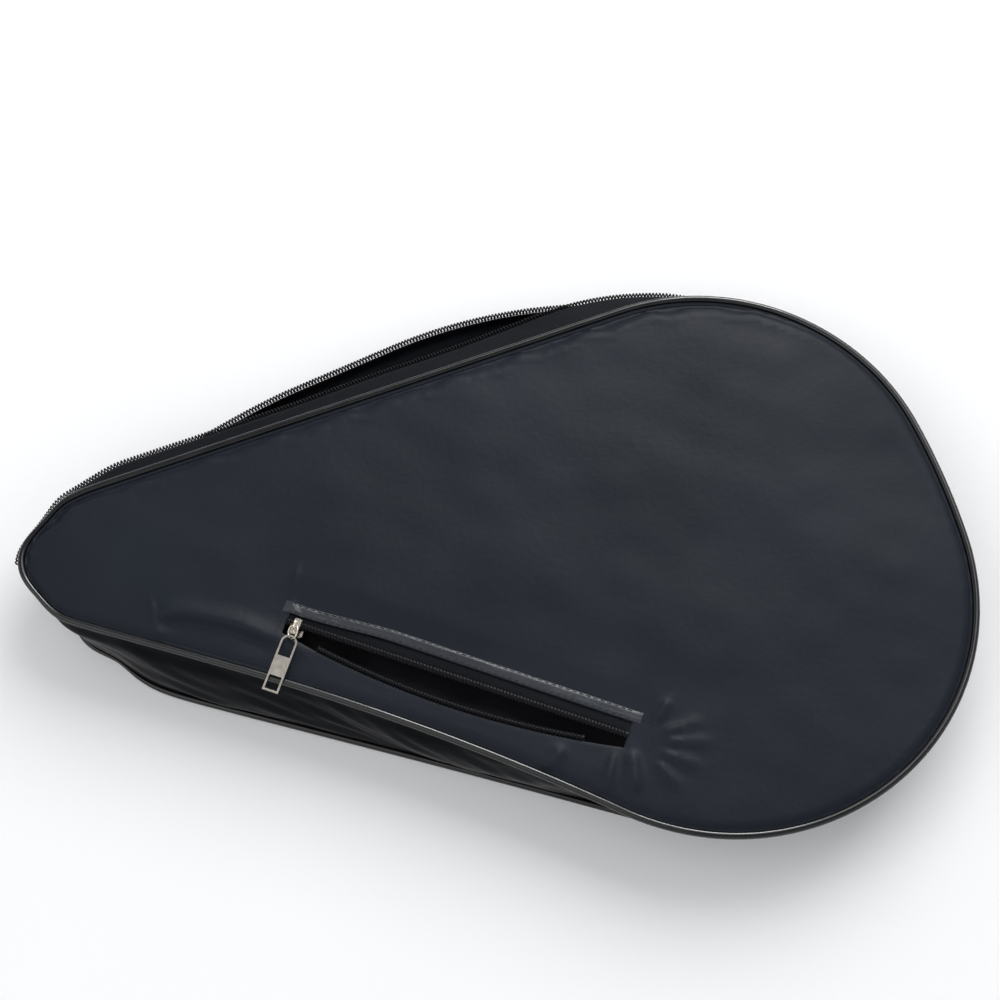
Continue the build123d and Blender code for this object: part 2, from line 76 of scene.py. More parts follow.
# ---- main zip ----
ZIP_R = 119.0
ZIP_START = 39.5
ZIP_ARC_END = 70.0
BACK_LEAD = 5.0
GUSSET_END = 35.0
TAPE = 0.6
TAPE_INSET = -0.35            # middle of the tape, from the zip's line
TAPE_BEND_Z = 39.0
FRONT_COIL_LOW = 34.3
REAR_COIL_LOW = 22.0
REAR_BEND_Z = 18.6
COIL_W = 2.6
COIL_H = 2.0
COIL_INSET = -0.75 - COIL_H / 2
COIL_PITCH = 1.8
COIL_WIRE = 0.46              # radius of the nylon wire
COIL_STEPS = 12               # points in each turn of the wire
COIL_SQUARE = 0.7             # power of the coil's flattened section
CORE_SQUARE = 0.6
WIRE_SIDES = 6
FRONT_SPLAY = 11.5
REAR_HEADING = 206.0
REAR_POINT = (-72.0, 121.0)
REAR_END_X = -217.0
SEAM_GAP = 0.6
TIP_RUN = 75.0                # the front zip half's way round the tip, in degrees
STRIP_SHARE = 0.62
CLOTH = 1.1                   # thickness of the gusset's cloth
STRIP_CLOTH = 1.0

# ---- pocket ----
POCKET_ORIGIN = np.array([-104.0, -42.0])
POCKET_ANGLE = -18.8
SLOT_START = -6.0
SLOT_END = 178.0
SLOT_MIDDLE = (SLOT_START + SLOT_END) / 2
SLOT_HALF = 5.0
SLOT_TOP = 9.0
SLOT_BOW = 9.0
LIP_START = 14.0
LIP_TAPE = 3.4
BAG_DEPTH = 95.0
BAG_MARGIN = 4.0
BAG_TOP_Z = 43.5
BAG_LOW_Z = 37.6
BAG_CLOTH = 0.4


def rad(angle):
    return math.radians(angle)


# ---- paths ----
def advance(state, size, sweep):
    """Walk a straight run, or an arc of radius size where sweep isn't zero."""
    x, y, heading = state
    if sweep == 0:
        return (x + size * math.cos(rad(heading)), y + size * math.sin(rad(heading)), heading)
    reach = math.copysign(size, sweep)
    turned = heading + sweep
    x = x - reach * math.sin(rad(heading)) + reach * math.sin(rad(turned))
    y = y + reach * math.cos(rad(heading)) - reach * math.cos(rad(turned))
    return (x, y, turned)


def walk(state, steps):
    for size, sweep in steps:
        state = advance(state, size, sweep)
    return state


def closed_outline(start, arcs, tip_r):
    """All steps of a panel outline. The two straight flanks are as long as it takes to close it."""
    turned = sum(sweep for _, sweep in arcs)
    tip = (tip_r, 360 - turned)
    end = walk(start, list(arcs) + [tip])
    gap_x = start[0] - end[0]
    gap_y = start[1] - end[1]
    lower = rad(start[2])
    upper = rad(start[2] + turned)
    span = math.sin(upper - lower)
    low_run = (gap_x * math.sin(upper) - gap_y * math.cos(upper)) / span
    high_run = (gap_y * math.cos(lower) - gap_x * math.sin(lower)) / span
    return [(low_run, 0)] + list(arcs) + [(high_run, 0), tip]


def counts_for(steps, spacing):
    lengths = [size if sweep == 0 else size * abs(rad(sweep)) for size, sweep in steps]
    return [max(2, round(length / spacing)) for length in lengths]


def trace(state, steps, counts):
    """Walking states (x, y, heading) along steps, each cut into its count of equal parts."""
    rows = [state]
    for (size, sweep), count in zip(steps, counts):
        begin = rows[-1]
        for i in range(1, count + 1):
            part = i / count
            rows.append(advance(begin, size if sweep else size * part, sweep * part))
    return np.array(rows)


def beside(states, inset):
    """Plan points beside the path, inset to its left, which is inwards on an outline."""
    heading = np.radians(states[:, 2])
    x = states[:, 0] - inset * np.sin(heading)
    y = states[:, 1] + inset * np.cos(heading)
    return np.stack([x, y], axis=1)


def outward(states):
    """Unit vectors to the right of a path, which is outwards on an outline."""
    heading = np.radians(states[:, 2])
    return np.stack([np.sin(heading), -np.cos(heading)], axis=1)


def lengths_along(points):
    steps = np.linalg.norm(np.diff(points, axis=0), axis=1)
    return np.concatenate([[0.0], np.cumsum(steps)])


FRONT = closed_outline(FRONT_START, FRONT_ARCS, FRONT_TIP_R)
BACK = closed_outline(BACK_START, BACK_ARCS, BACK_TIP_R)
CROWN_STATE = walk(FRONT_START, FRONT[:CROWN])
CROWN_CENTRE = beside(np.array([CROWN_STATE]), FRONT_ARCS[3][0])[0]
FLANK_STATE = walk(FRONT_START, FRONT[:HIGH_FLANK])
TIP_STATE = walk(FRONT_START, FRONT[:TIP])
FRONT_TIP_CENTRE = beside(np.array([TIP_STATE]), FRONT_TIP_R)[0]
BACK_TIP_CENTRE = beside(np.array([BACK_START]), BACK_TIP_R)[0]
FRONT_PINCH = ((143.0, 27.0, 4.8), (222.0, 24.0, 3.0))     # direction, width, depth
BACK_PINCH = ((237.0, 25.0, 8.6),)


def outline_states(front, spacing):
    """Closed outline of the front or back panel, without the repeated last state."""
    start, steps = (FRONT_START, FRONT) if front else (BACK_START, BACK)
    return trace(start, steps, counts_for(steps, spacing))[:-1]


def crown_state(direction, radius):
    x = CROWN_CENTRE[0] + radius * math.cos(rad(direction))
    y = CROWN_CENTRE[1] + radius * math.sin(rad(direction))
    return (x, y, direction + 90)


def run_out(heading, through, end_x):
    """Steps of a zip half: the slider's arc, an easy bend, and a straight run through a point."""
    arc_end = crown_state(ZIP_ARC_END, ZIP_R)
    turn = heading - arc_end[2]
    line_normal = np.array([-math.sin(rad(heading)), math.cos(rad(heading))])
    offset = (np.array(arc_end[:2]) - through) @ line_normal
    bend = offset / (1 - math.cos(rad(turn)))
    bend_end = advance(arc_end, bend, turn)
    run = (end_x - bend_end[0]) / math.cos(rad(heading))
    return [(ZIP_R, ZIP_ARC_END - ZIP_START), (bend, turn), (run, 0)]


ZIP_STATE = crown_state(ZIP_START, ZIP_R)
FLANK_OUT = beside(np.array([FLANK_STATE]), -FRONT_SPLAY)[0]
TIP_OUT = beside(np.array([TIP_STATE]), -FRONT_SPLAY)[0]
FRONT_ZIP = run_out(FLANK_STATE[2], FLANK_OUT, TIP_OUT[0])
REAR_ZIP = run_out(REAR_HEADING, np.array(REAR_POINT), REAR_END_X)


def back_crown_state(direction):
    state = walk(BACK_START, BACK[:CROWN])
    return advance(state, BACK_ARCS[3][0], direction + 90 - state[2])


def mouth_steps(edge, crown_r, crown_end, flank):
    first = ZIP_ARC_END - ZIP_START
    return [(crown_r, first), (crown_r, crown_end - edge[2] - first), (flank[0] - SEAM_GAP, 0)]


def in_pocket(u, v):
    """Plan points from the pocket's own frame: u along its zip, v up across it."""
    along = np.array([math.cos(rad(POCKET_ANGLE)), math.sin(rad(POCKET_ANGLE))])
    across = np.array([-along[1], along[0]])
    return POCKET_ORIGIN + np.multiply.outer(u, along) + np.multiply.outer(v, across)


def bow_radius(half):
    """Radius of the lower lip's bow, from half the width it spans."""
    return (half * half + SLOT_BOW * SLOT_BOW) / (2 * SLOT_BOW)


def lip_v(u, grow=0.0):
    """The bowed lower edge of the pocket's mouth."""
    radius = bow_radius((SLOT_END - SLOT_START) / 2 + grow)
    rise = radius - np.sqrt(radius * radius - (u - SLOT_MIDDLE) ** 2)
    return -SLOT_HALF - grow - SLOT_BOW + rise


def slot_loop(grow, spacing):
    """The pocket's mouth, counter-clockwise."""
    left = SLOT_START - grow
    right = SLOT_END + grow
    top = SLOT_TOP + grow
    bottom = SLOT_HALF + grow
    long_n = int((right - left) / spacing)
    short_n = max(3, int((top + bottom) / spacing))
    u = np.linspace(left, right, long_n, endpoint=False)
    low = in_pocket(u, lip_v(u, grow))
    end = in_pocket(np.full(short_n, right), np.linspace(-bottom, top, short_n, endpoint=False))
    high = in_pocket(np.linspace(right, left, long_n, endpoint=False), np.full(long_n, top))
    start = in_pocket(np.full(short_n, left), np.linspace(top, -bottom, short_n, endpoint=False))
    return np.concatenate([low, end, high, start])


# ---- shapes ----
def swell(points, wavelength, seed, waves=20):
    """A smooth random field of about unit height."""
    rng = np.random.default_rng(seed)
    total = np.zeros(len(points))
    for _ in range(waves):
        angle = rng.uniform(0, TURN)
        size = wavelength * rng.uniform(0.7, 1.5)
        phase = rng.uniform(0, TURN)
        run = points[:, 0] * math.cos(angle) + points[:, 1] * math.sin(angle)
        total += np.cos(run * TURN / size + phase)
    return total / math.sqrt(waves / 2)


def smooth(value, low, high):
    part = np.clip((value - low) / (high - low), 0, 1)
    return part * part * (3 - 2 * part)


def nearest(points, loop):
    """Distance to the closest of a loop's points, and that point's index."""
    distance = np.empty(len(points))
    index = np.empty(len(points), int)
    chunk = 1500
    for first in range(0, len(points), chunk):
        block = points[first:first + chunk]
        square = ((block[:, None, :] - loop[None, :, :]) ** 2).sum(axis=2)
        index[first:first + chunk] = square.argmin(axis=1)
        distance[first:first + chunk] = np.sqrt(square.min(axis=1))
    return distance, index


def off_line(points, line):
    """Signed distance from a line of plan points (left is positive), and the share along it."""
    line = np.array(line, float)
    lengths = lengths_along(line)
    best = np.full(len(points), 1e9)
    signed = np.zeros(len(points))
    share = np.zeros(len(points))
    for a, b, start in zip(line[:-1], line[1:], lengths[:-1]):
        step = b - a
        size = np.linalg.norm(step)
        part = np.clip((points - a) @ step / size ** 2, 0, 1)
        gap = points - (a + part[:, None] * step)
        far = np.linalg.norm(gap, axis=1)
        side = np.sign(step[0] * gap[:, 1] - step[1] * gap[:, 0])
        closer = far < best
        best = np.where(closer, far, best)
        signed = np.where(closer, far * side, signed)
        share = np.where(closer, (start + part * size) / lengths[-1], share)
    return signed, share


def crease(points, line, height, width, side=1.0):
    """A soft ridge that fades out at both ends of a line, side times as wide on its right."""
    signed, share = off_line(points, line)
    spread = np.where(signed > 0, width, width * side)
    ends = smooth(share, 0.0, 0.25) * (1 - smooth(share, 0.7, 1.0))
    return height * np.exp(-(signed / spread) ** 2) * (0.15 + 0.85 * ends)


def inside(points, loop):
    """Even-odd test of points against a closed loop."""
    x, y = points[:, 0], points[:, 1]
    found = np.zeros(len(points), bool)
    for (ax, ay), (bx, by) in zip(loop, np.roll(loop, -1, axis=0)):
        if ay == by:
            continue
        crosses = (ay > y) != (by > y)
        found ^= crosses & (x < (bx - ax) * (y - ay) / (by - ay) + ax)
    return found


def hex_field(low, high, spacing):
    rows = []
    row_gap = spacing * math.sqrt(3) / 2
    for i, y in enumerate(np.arange(low[1], high[1], row_gap)):
        x = np.arange(low[0] + (i % 2) * spacing / 2, high[0], spacing)
        rows.append(np.stack([x, np.full(len(x), y)], axis=1))
    return np.concatenate(rows)


def flat_net(loops, inner):
    """Triangles through inner points, inside the first closed loop and outside the others."""
    coords, edges = [], []
    for loop in loops:
        first = len(coords)
        coords += [Vector(p) for p in loop]
        edges += [(first + i, first + (i + 1) % len(loop)) for i in range(len(loop))]
    coords += [Vector(p) for p in inner]
    verts, _, faces, _, _, _ = delaunay_2d_cdt(coords, edges, [], 0, 1e-5)
    points = np.array([tuple(v) for v in verts])
    triangles = np.array(faces)
    centre = points[triangles].mean(axis=1)
    keep = inside(centre, loops[0])
    for hole in loops[1:]:
        keep &= ~inside(centre, hole)
    used, flat = np.unique(triangles[keep], return_inverse=True)
    return points[used], flat.reshape(-1, 3)


def material_normals(points, triangles):
    """Boundary edges of a net, and at each boundary point the direction into the net."""
    edges = np.concatenate([triangles[:, [0, 1]], triangles[:, [1, 2]], triangles[:, [2, 0]]])
    count = len(points)
    keys = edges[:, 0] * count + edges[:, 1]
    back = edges[:, 1] * count + edges[:, 0]
    rim = edges[~np.isin(keys, back)]
    step = points[rim[:, 1]] - points[rim[:, 0]]
    left = np.stack([-step[:, 1], step[:, 0]], axis=1)
    left /= np.linalg.norm(left, axis=1)[:, None]
    normals = np.zeros((count, 2))
    np.add.at(normals, rim[:, 0], left)
    np.add.at(normals, rim[:, 1], left)
    size = np.linalg.norm(normals, axis=1)
    size[size == 0] = 1
    return rim, normals / size[:, None]


def thick_net(points, triangles, top_z, bottom_z, walls=(), draw_in=0.0, reach=8.0):
    """Closed body over a net. walls are (inset, height) rings between its faces at every rim."""
    rim, normals = material_normals(points, triangles)
    on_rim = np.unique(rim)
    far, index = nearest(points, points[on_rim])
    pull_in = draw_in * np.clip(1 - far / reach, 0, 1)
    low_plan = points + normals[on_rim][index] * pull_in[:, None]
    count = len(points)
    levels = []
    for inset, height in walls:
        ring = points[on_rim] + normals[on_rim] * inset
        levels.append(np.column_stack([ring, np.full(len(on_rim), height)]))
    top = np.column_stack([points, np.full(count, top_z)])
    bottom = np.column_stack([low_plan, np.full(count, bottom_z)])
    place = np.full(count, -1)
    place[on_rim] = np.arange(len(on_rim))
    faces = [tuple(t) for t in triangles.tolist()]
    faces += [(c + count, b + count, a + count) for a, b, c in triangles.tolist()]
    offsets = [2 * count + i * len(on_rim) for i in range(len(levels))]
    for a, b in rim.tolist():
        column_a = [a] + [o + place[a] for o in offsets] + [a + count]
        column_b = [b] + [o + place[b] for o in offsets] + [b + count]
        for k in range(len(column_a) - 1):
            faces.append((column_b[k], column_a[k], column_a[k + 1], column_b[k + 1]))
    return np.concatenate([top, bottom] + levels), faces


def grid_faces(rows, cols, wrap_rows=False, wrap_cols=False):
    faces = []
    for i in range(rows if wrap_rows else rows - 1):
        for j in range(cols if wrap_cols else cols - 1):
            right = (j + 1) % cols
            below = (i + 1) % rows
            faces.append((i * cols + j, i * cols + right, below * cols + right, below * cols + j))
    return faces


def tube_faces(rows, cols):
    """Faces of a tube of rings, closed at both ends."""
    faces = grid_faces(rows, cols, False, True)
    faces.append(tuple(range(cols))[::-1])
    faces.append(tuple(range((rows - 1) * cols, rows * cols)))
    return faces


def swept(states, section, closed=False, wave=None):
    """A closed section of (inset, z) points carried along a path, raised by wave at each state."""
    lift = np.zeros(len(states)) if wave is None else wave
    columns = [np.column_stack([beside(states, inset), z + lift]) for inset, z in section]
    grid = np.stack(columns, axis=1)
    rows, cols = grid.shape[:2]
    faces = grid_faces(rows, cols, True, True) if closed else tube_faces(rows, cols)
    return grid.reshape(-1, 3), faces


def oval(angle, power):
    """Cosine and sine of an angle, on an oval that is squarer the smaller the power."""
    cos, sin = np.cos(angle), np.sin(angle)
    return np.sign(cos) * np.abs(cos) ** power, np.sign(sin) * np.abs(sin) ** power


def round_section(inset, z, half_inset, half_z, power=1.0, sides=14):
    wide, high = oval(np.arange(sides) * TURN / sides, power)
    return list(zip(inset + half_inset * wide, z + half_z * high))


def sheet_body(grid, thickness):
    """A closed sheet of even thickness around a grid of points."""
    normal = np.cross(np.gradient(grid, axis=0), np.gradient(grid, axis=1))
    normal /= np.linalg.norm(normal, axis=2)[:, :, None]
    rows, cols = grid.shape[:2]
    count = rows * cols
    upper = (grid + normal * thickness / 2).reshape(-1, 3)
    lower = (grid - normal * thickness / 2).reshape(-1, 3)
    faces = grid_faces(rows, cols)
    faces += [tuple(v + count for v in face[::-1]) for face in faces]
    rim = [j for j in range(cols)]
    rim += [i * cols + cols - 1 for i in range(1, rows)]
    rim += [(rows - 1) * cols + j for j in range(cols - 2, -1, -1)]
    rim += [i * cols for i in range(rows - 2, 0, -1)]
    for a, b in zip(rim, rim[1:] + rim[:1]):
        faces.append((b, a, a + count, b + count))
    return np.concatenate([upper, lower]), faces


def coil_body(states, inset, z, half_inset, half_z, swollen=None):
    """A flattened coil of wire along a path, on a thin core. swollen scales its section."""
    line = beside(states, 0.0)
    along = lengths_along(line)
    turns = int(along[-1] / COIL_PITCH)
    s = np.arange(turns * COIL_STEPS + 1) * COIL_PITCH / COIL_STEPS
    x = np.interp(s, along, line[:, 0])
    y = np.interp(s, along, line[:, 1])
    heading = np.radians(np.interp(s, along, states[:, 2]))
    size = np.ones(len(s)) if swollen is None else np.interp(s, along, swollen)
    left = np.stack([-np.sin(heading), np.cos(heading), np.zeros(len(s))], axis=1)
    up = np.array([0.0, 0.0, 1.0])
    angle = TURN * s / COIL_PITCH
    wide, high = oval(angle, COIL_SQUARE)
    wide = (wide * (half_inset * size - COIL_WIRE) + inset * size)[:, None]
    high = (high * (half_z * np.sqrt(size) - COIL_WIRE))[:, None]
    centre = np.column_stack([x, y, np.full(len(s), z)]) + left * wide + up * high
    tangent = np.gradient(centre, axis=0)
    tangent /= np.linalg.norm(tangent, axis=1)[:, None]
    out = left * np.cos(angle)[:, None] + up * np.sin(angle)[:, None]
    out -= tangent * (out * tangent).sum(axis=1)[:, None]
    out /= np.linalg.norm(out, axis=1)[:, None]
    third = np.cross(tangent, out)
    ring = np.arange(WIRE_SIDES) * TURN / WIRE_SIDES
    grid = (centre[:, None, :] + COIL_WIRE * (np.cos(ring)[None, :, None] * out[:, None, :]
                                              + np.sin(ring)[None, :, None] * third[:, None, :]))
    section = round_section(inset, z, half_inset - 2 * COIL_WIRE, half_z - 2 * COIL_WIRE,
                            CORE_SQUARE, 8)
    wire = (grid.reshape(-1, 3), tube_faces(len(s), WIRE_SIDES))
    return joined([wire, swept(states, section)])


STITCH_R = 0.2
STITCH_SIDES = 6
STITCH_PROFILE = ((0.0, 0.25, -0.2), (0.12, 0.8, 0.02), (0.35, 1.0, 0.1), (0.65, 1.0, 0.1),
                  (0.88, 0.8, 0.02), (1.0, 0.25, -0.2))   # share of length, of radius, and lift


def stitch_body(line, height, length=2.6, gap=1.1):
    """Short raised stitches along a plan line, at a height above the front panel's face."""
    along = lengths_along(line)
    stitches = []
    for k in range(int(along[-1] / (length + gap))):
        begin = k * (length + gap) + gap / 2
        s = np.array([begin + part * length for part, _, _ in STITCH_PROFILE])
        plan = np.stack([np.interp(s, along, line[:, 0]), np.interp(s, along, line[:, 1])], axis=1)
        step = plan[-1] - plan[0]
        step /= np.linalg.norm(step)
        across = np.array([-step[1], step[0]])
        points = []
        surface = front_top(plan) + height
        for (_, share, lift), place, base in zip(STITCH_PROFILE, plan, surface):
            for j in range(STITCH_SIDES):
                turn = TURN * j / STITCH_SIDES
                shift = across * math.cos(turn) * STITCH_R * share
                points.append((place[0] + shift[0], place[1] + shift[1],
                               base + lift + math.sin(turn) * STITCH_R * share))
        stitches.append((np.array(points), tube_faces(len(STITCH_PROFILE), STITCH_SIDES)))
    return joined(stitches)


def tip_pull(points, centre, radius, peaks):
    """How far the soft tip is drawn in towards its centre, by direction from it."""
    away = points[:, :2] - centre
    far = np.linalg.norm(away, axis=1)
    direction = np.degrees(np.arctan2(away[:, 1], away[:, 0])) % 360
    depth = np.zeros(len(points))
    for middle, width, size in peaks:
        depth += size * np.exp(-((direction - middle) / width) ** 2)
    depth *= np.clip(far / radius, 0, 1.2) ** 2
    return -away / np.maximum(far, 1.0)[:, None] * depth[:, None]


def settled(points):
    """The flat, pinched tip of the soft case: narrower than its sewn outline on both sides."""
    moved = np.array(points, float)
    share = np.clip(moved[:, 2] / SETTLE_Z, 0, 1)[:, None]
    front = tip_pull(moved, FRONT_TIP_CENTRE, FRONT_TIP_R, FRONT_PINCH)
    back = tip_pull(moved, BACK_TIP_CENTRE, BACK_TIP_R, BACK_PINCH)
    moved[:, :2] += front * share + back * (1 - share)
    return moved


def joined(bodies):
    points, faces, shift = [], [], 0
    for body_points, body_faces in bodies:
        points.append(body_points)
        faces += [tuple(v + shift for v in face) for face in body_faces]
        shift += len(body_points)
    return np.concatenate(points), faces


def add_piece(name, body, material, sharp=50.0):
    points, faces = body
    mesh = bpy.data.meshes.new(name)
    mesh.from_pydata((settled(points) * MM).tolist(), [], faces)
    mesh.validate()
    mesh.polygons.foreach_set("use_smooth", [True] * len(mesh.polygons))
    mesh.set_sharp_from_angle(angle=rad(sharp))
    mesh.materials.append(material)
    piece = bpy.data.objects.new(name, mesh)
    bpy.context.scene.collection.objects.link(piece)
    return piece


# ---- materials ----
def wired(tree, node, inputs):
    """Set a node's inputs, or link those that are given another node's socket."""
    for key, value in inputs.items():
        if isinstance(value, bpy.types.NodeSocket):
            tree.links.new(value, node.inputs[key])
        else:
            node.inputs[key].default_value = value
    return node


def new_node(tree, kind, inputs):
    return wired(tree, tree.nodes.new(kind), inputs)


def new_material(name):
    material = bpy.data.materials.new(name)
    material.use_nodes = True
    tree = material.node_tree
    shader = next(n for n in tree.nodes if n.type == "BSDF_PRINCIPLED")
    return material, tree, shader, tree.nodes.new("ShaderNodeTexCoord").outputs["Object"]


def tones(tree, factor, dark, light, low=0.35, high=0.65):
    """Colours from dark to light while factor goes from low to high."""
    ramp = new_node(tree, "ShaderNodeValToRGB", {"Fac": factor})
    for element, place, colour in zip(ramp.color_ramp.elements, (low, high), (dark, light)):
        element.position = place
        element.color = (*colour, 1)
    return ramp.outputs["Color"]


def noise(tree, coords, scale, detail=3.0):
    inputs = {"Scale": scale, "Detail": detail, "Vector": coords}
    return new_node(tree, "ShaderNodeTexNoise", inputs).outputs["Fac"]


def threads(tree, coords, scale, direction):
    inputs = {"Scale": scale, "Distortion": 0.6, "Vector": coords}
    wave = new_node(tree, "ShaderNodeTexWave", inputs)
    wave.bands_direction = direction
    return wave.outputs["Fac"]


def gloss(tree, coords, scale, low, high):
    """Roughness that wanders between low and high."""
    inputs = {"To Min": low, "To Max": high, "Value": noise(tree, coords, scale)}
    return new_node(tree, "ShaderNodeMapRange", inputs).outputs["Result"]


def bump(tree, height, strength, distance, before=None):
    inputs = {"Strength": strength, "Distance": distance, "Height": height}
    if before is not None:
        inputs["Normal"] = before
    return new_node(tree, "ShaderNodeBump", inputs).outputs["Normal"]


def woven(name, dark, light, rough, sheen, count, crinkle, specular):
    """Coated woven cloth: crossed threads, fine crinkles, slow changes of tone and gloss."""
    material, tree, shader, coords = new_material(name)
    weave = new_node(tree, "ShaderNodeMath", {0: threads(tree, coords, count, "X"),
                                              1: threads(tree, coords, count, "Y")})
    weave.operation = "MULTIPLY"
    fine = bump(tree, weave.outputs["Value"], strength=0.35, distance=0.00006)
    tone = noise(tree, coords, scale=14.0, detail=4.0)
    crinkles = noise(tree, coords, crinkle, detail=5.0)
    wired(tree, shader, {
        "Base Color": tones(tree, tone, dark, light, low=0.3, high=0.7),
        "Roughness": gloss(tree, coords, 38.0, rough - 0.07, rough + 0.08),
        "Specular IOR Level": specular, "Sheen Weight": sheen, "Sheen Roughness": 0.45,
        "Normal": bump(tree, crinkles, strength=0.35, distance=0.0004, before=fine)})
    return material


def vinyl(name, dark, rough):
    """Smooth plastic film over cord, with faint ripples and scuffs."""
    material, tree, shader, coords = new_material(name)
    light = tuple(c * 1.8 + 0.002 for c in dark)
    ripples = noise(tree, coords, scale=140.0)
    wired(tree, shader, {
        "Base Color": tones(tree, noise(tree, coords, scale=60.0), dark, light),
        "Roughness": gloss(tree, coords, 120.0, rough, rough + 0.15),
        "Specular IOR Level": 0.45,
        "Normal": bump(tree, ripples, strength=0.2, distance=0.0003)})
    return material


def nylon(name, dark, light, rough):
    material, tree, shader, coords = new_material(name)
    grain = noise(tree, coords, scale=2500.0)
    wired(tree, shader, {
        "Base Color": tones(tree, noise(tree, coords, scale=900.0), dark, light),
        "Roughness": rough, "Specular IOR Level": 0.1,
        "Normal": bump(tree, grain, strength=0.2, distance=0.00005)})
    return material


def plated(name, colour, rough):
    """Plated die-cast metal, slightly uneven in tone and gloss."""
    material, tree, shader, coords = new_material(name)
    dull = tuple(c * 0.82 for c in colour)
    dents = noise(tree, coords, scale=160.0)
    wired(tree, shader, {
        "Base Color": tones(tree, noise(tree, coords, scale=350.0), dull, colour),
        "Roughness": gloss(tree, coords, 500.0, rough, rough + 0.08), "Metallic": 1.0,
        "Normal": bump(tree, dents, strength=0.1, distance=0.0001)})
    return material


PANEL_CLOTH = woven("panel_cloth", (0.0098, 0.0127, 0.0179), (0.0132, 0.0165, 0.0230),
                    rough=0.44, sheen=0.01, count=420.0, crinkle=260.0, specular=0.09)
GUSSET_CLOTH = woven("gusset_cloth", (0.0018, 0.0021, 0.0026), (0.0034, 0.0038, 0.0046),
                     rough=0.33, sheen=0.0, count=420.0, crinkle=220.0, specular=0.05)
# The welt is given lighter tones than the panel's cloth: painted sheen, standing in for the light it
# catches.
WELT_CLOTH_PAINTED_SHEEN = woven("welt_cloth_painted_sheen", (0.0150, 0.0175, 0.0225), (0.0330, 0.0370, 0.0450),
                   rough=0.34, sheen=0.03, count=420.0, crinkle=620.0, specular=0.3)
LINING_CLOTH = woven("lining_cloth", (0.004, 0.004, 0.005), (0.008, 0.008, 0.010),
                     rough=0.6, sheen=0.02, count=700.0, crinkle=300.0, specular=0.1)
TAPE_CLOTH = woven("tape_cloth", (0.0028, 0.0033, 0.0048), (0.0070, 0.0080, 0.0110),
                   rough=0.55, sheen=0.01, count=560.0, crinkle=700.0, specular=0.06)
BINDING_CLOTH = woven("binding_cloth", (0.005, 0.005, 0.007), (0.010, 0.010, 0.012),
                      rough=0.6, sheen=0.02, count=560.0, crinkle=500.0, specular=0.1)
PIPING_VINYL = vinyl("piping_vinyl", (0.0016, 0.0017, 0.0021), rough=0.1)
COIL_NYLON = nylon("coil_nylon", (0.003, 0.003, 0.004), (0.008, 0.008, 0.010), rough=0.36)
THREAD = nylon("sewing_thread", (0.012, 0.014, 0.019), (0.03, 0.034, 0.042), rough=0.5)
NICKEL = plated("pale_nickel", (0.70, 0.65, 0.56), rough=0.17)


# ---- front panel: folds, as lines of plan points ----
RIDGE = [(-178, -36), (-160, -37), (-136, -42), (-115, -50), (-97, -59)]
SHORT_CREASE = [(-180, -26), (-177, -38), (-174.5, -50)]
SLIDER_CREASE = [(-104, -6), (-107, -28), (-102.5, -40)]
BOX_RAYS = [[(80, -97), (104, -89)], [(81, -101), (108, -100)], [(80, -106), (102, -113)],
            [(79, -111), (91, -125)], [(78, -91), (87, -78)]]
LIP_PLEATS = [[(57, -104), (55, -116), (53, -129)], [(67, -104), (68, -117), (69, -130)],
              [(34, -103), (28, -111), (21, -119)]]
PULL_LINE = [(-105.5, -47.0), (-117.0, -79.0)]      # where the pull lies at rest,
PULL_LINE_OPEN = [(51.6, -100.5), (40.1, -132.5)]   # and at the far end of its run
FRONT_FINE = outline_states(True, 1.0)
FRONT_FINE_LINE = beside(FRONT_FINE, 0.0)
SLOT_FINE = slot_loop(0.0, 1.0)

# ---- front panel: heights of its relief ----
RIDGE_MIDDLE = 1.5            # the crest's place above the ridge's line
RIDGE_CREST = 2.7
RIDGE_HOLLOW = 2.1
DOME = 2.4                    # the stuffed middle of the panel,
DOME_START = 4.0              # from this far inside its rim
DOME_REACH = 30.0
ROLL = 1.85                   # the padding's edge beside the seam
VALLEY = 0.9                  # the dip along the mouth's seam,
CREST = 0.55                  # and the swollen edge beyond it
PUCKER = 0.28                 # gathers along the seam,
PUCKER_PITCH = 11.0
GATHER = 0.6                  # and stronger ones round the tip
GATHER_PITCH = 8.5
MOUTH_DROP = 0.35             # how far the pocket's edge is drawn down


def clear_of(points, line, low, high):
    """0 beside a line of plan points, rising to 1 between two distances from it."""
    off, _ = off_line(points, line)
    return smooth(np.abs(off), low, high)


def ridge_step(points):
    """The long fold left of the pocket: a crest, and a hollow below it that dies out."""
    signed, share = off_line(points, RIDGE)
    fade = smooth(share, 0.0, 0.12) * (1 - smooth(share, 0.88, 1.0))
    fade *= 0.55 + 0.45 * clear_of(points, PULL_LINE, 4.0, 15.0)
    hollow = np.exp(np.minimum(signed, 0) / 15.0) * (1 - smooth(signed, -4.5, 0.5))
    width = np.where(signed > RIDGE_MIDDLE, 6.5, 2.4)
    crest = np.exp(-((signed - RIDGE_MIDDLE) / width) ** 2)
    return fade * (RIDGE_CREST * crest - RIDGE_HOLLOW * hollow)


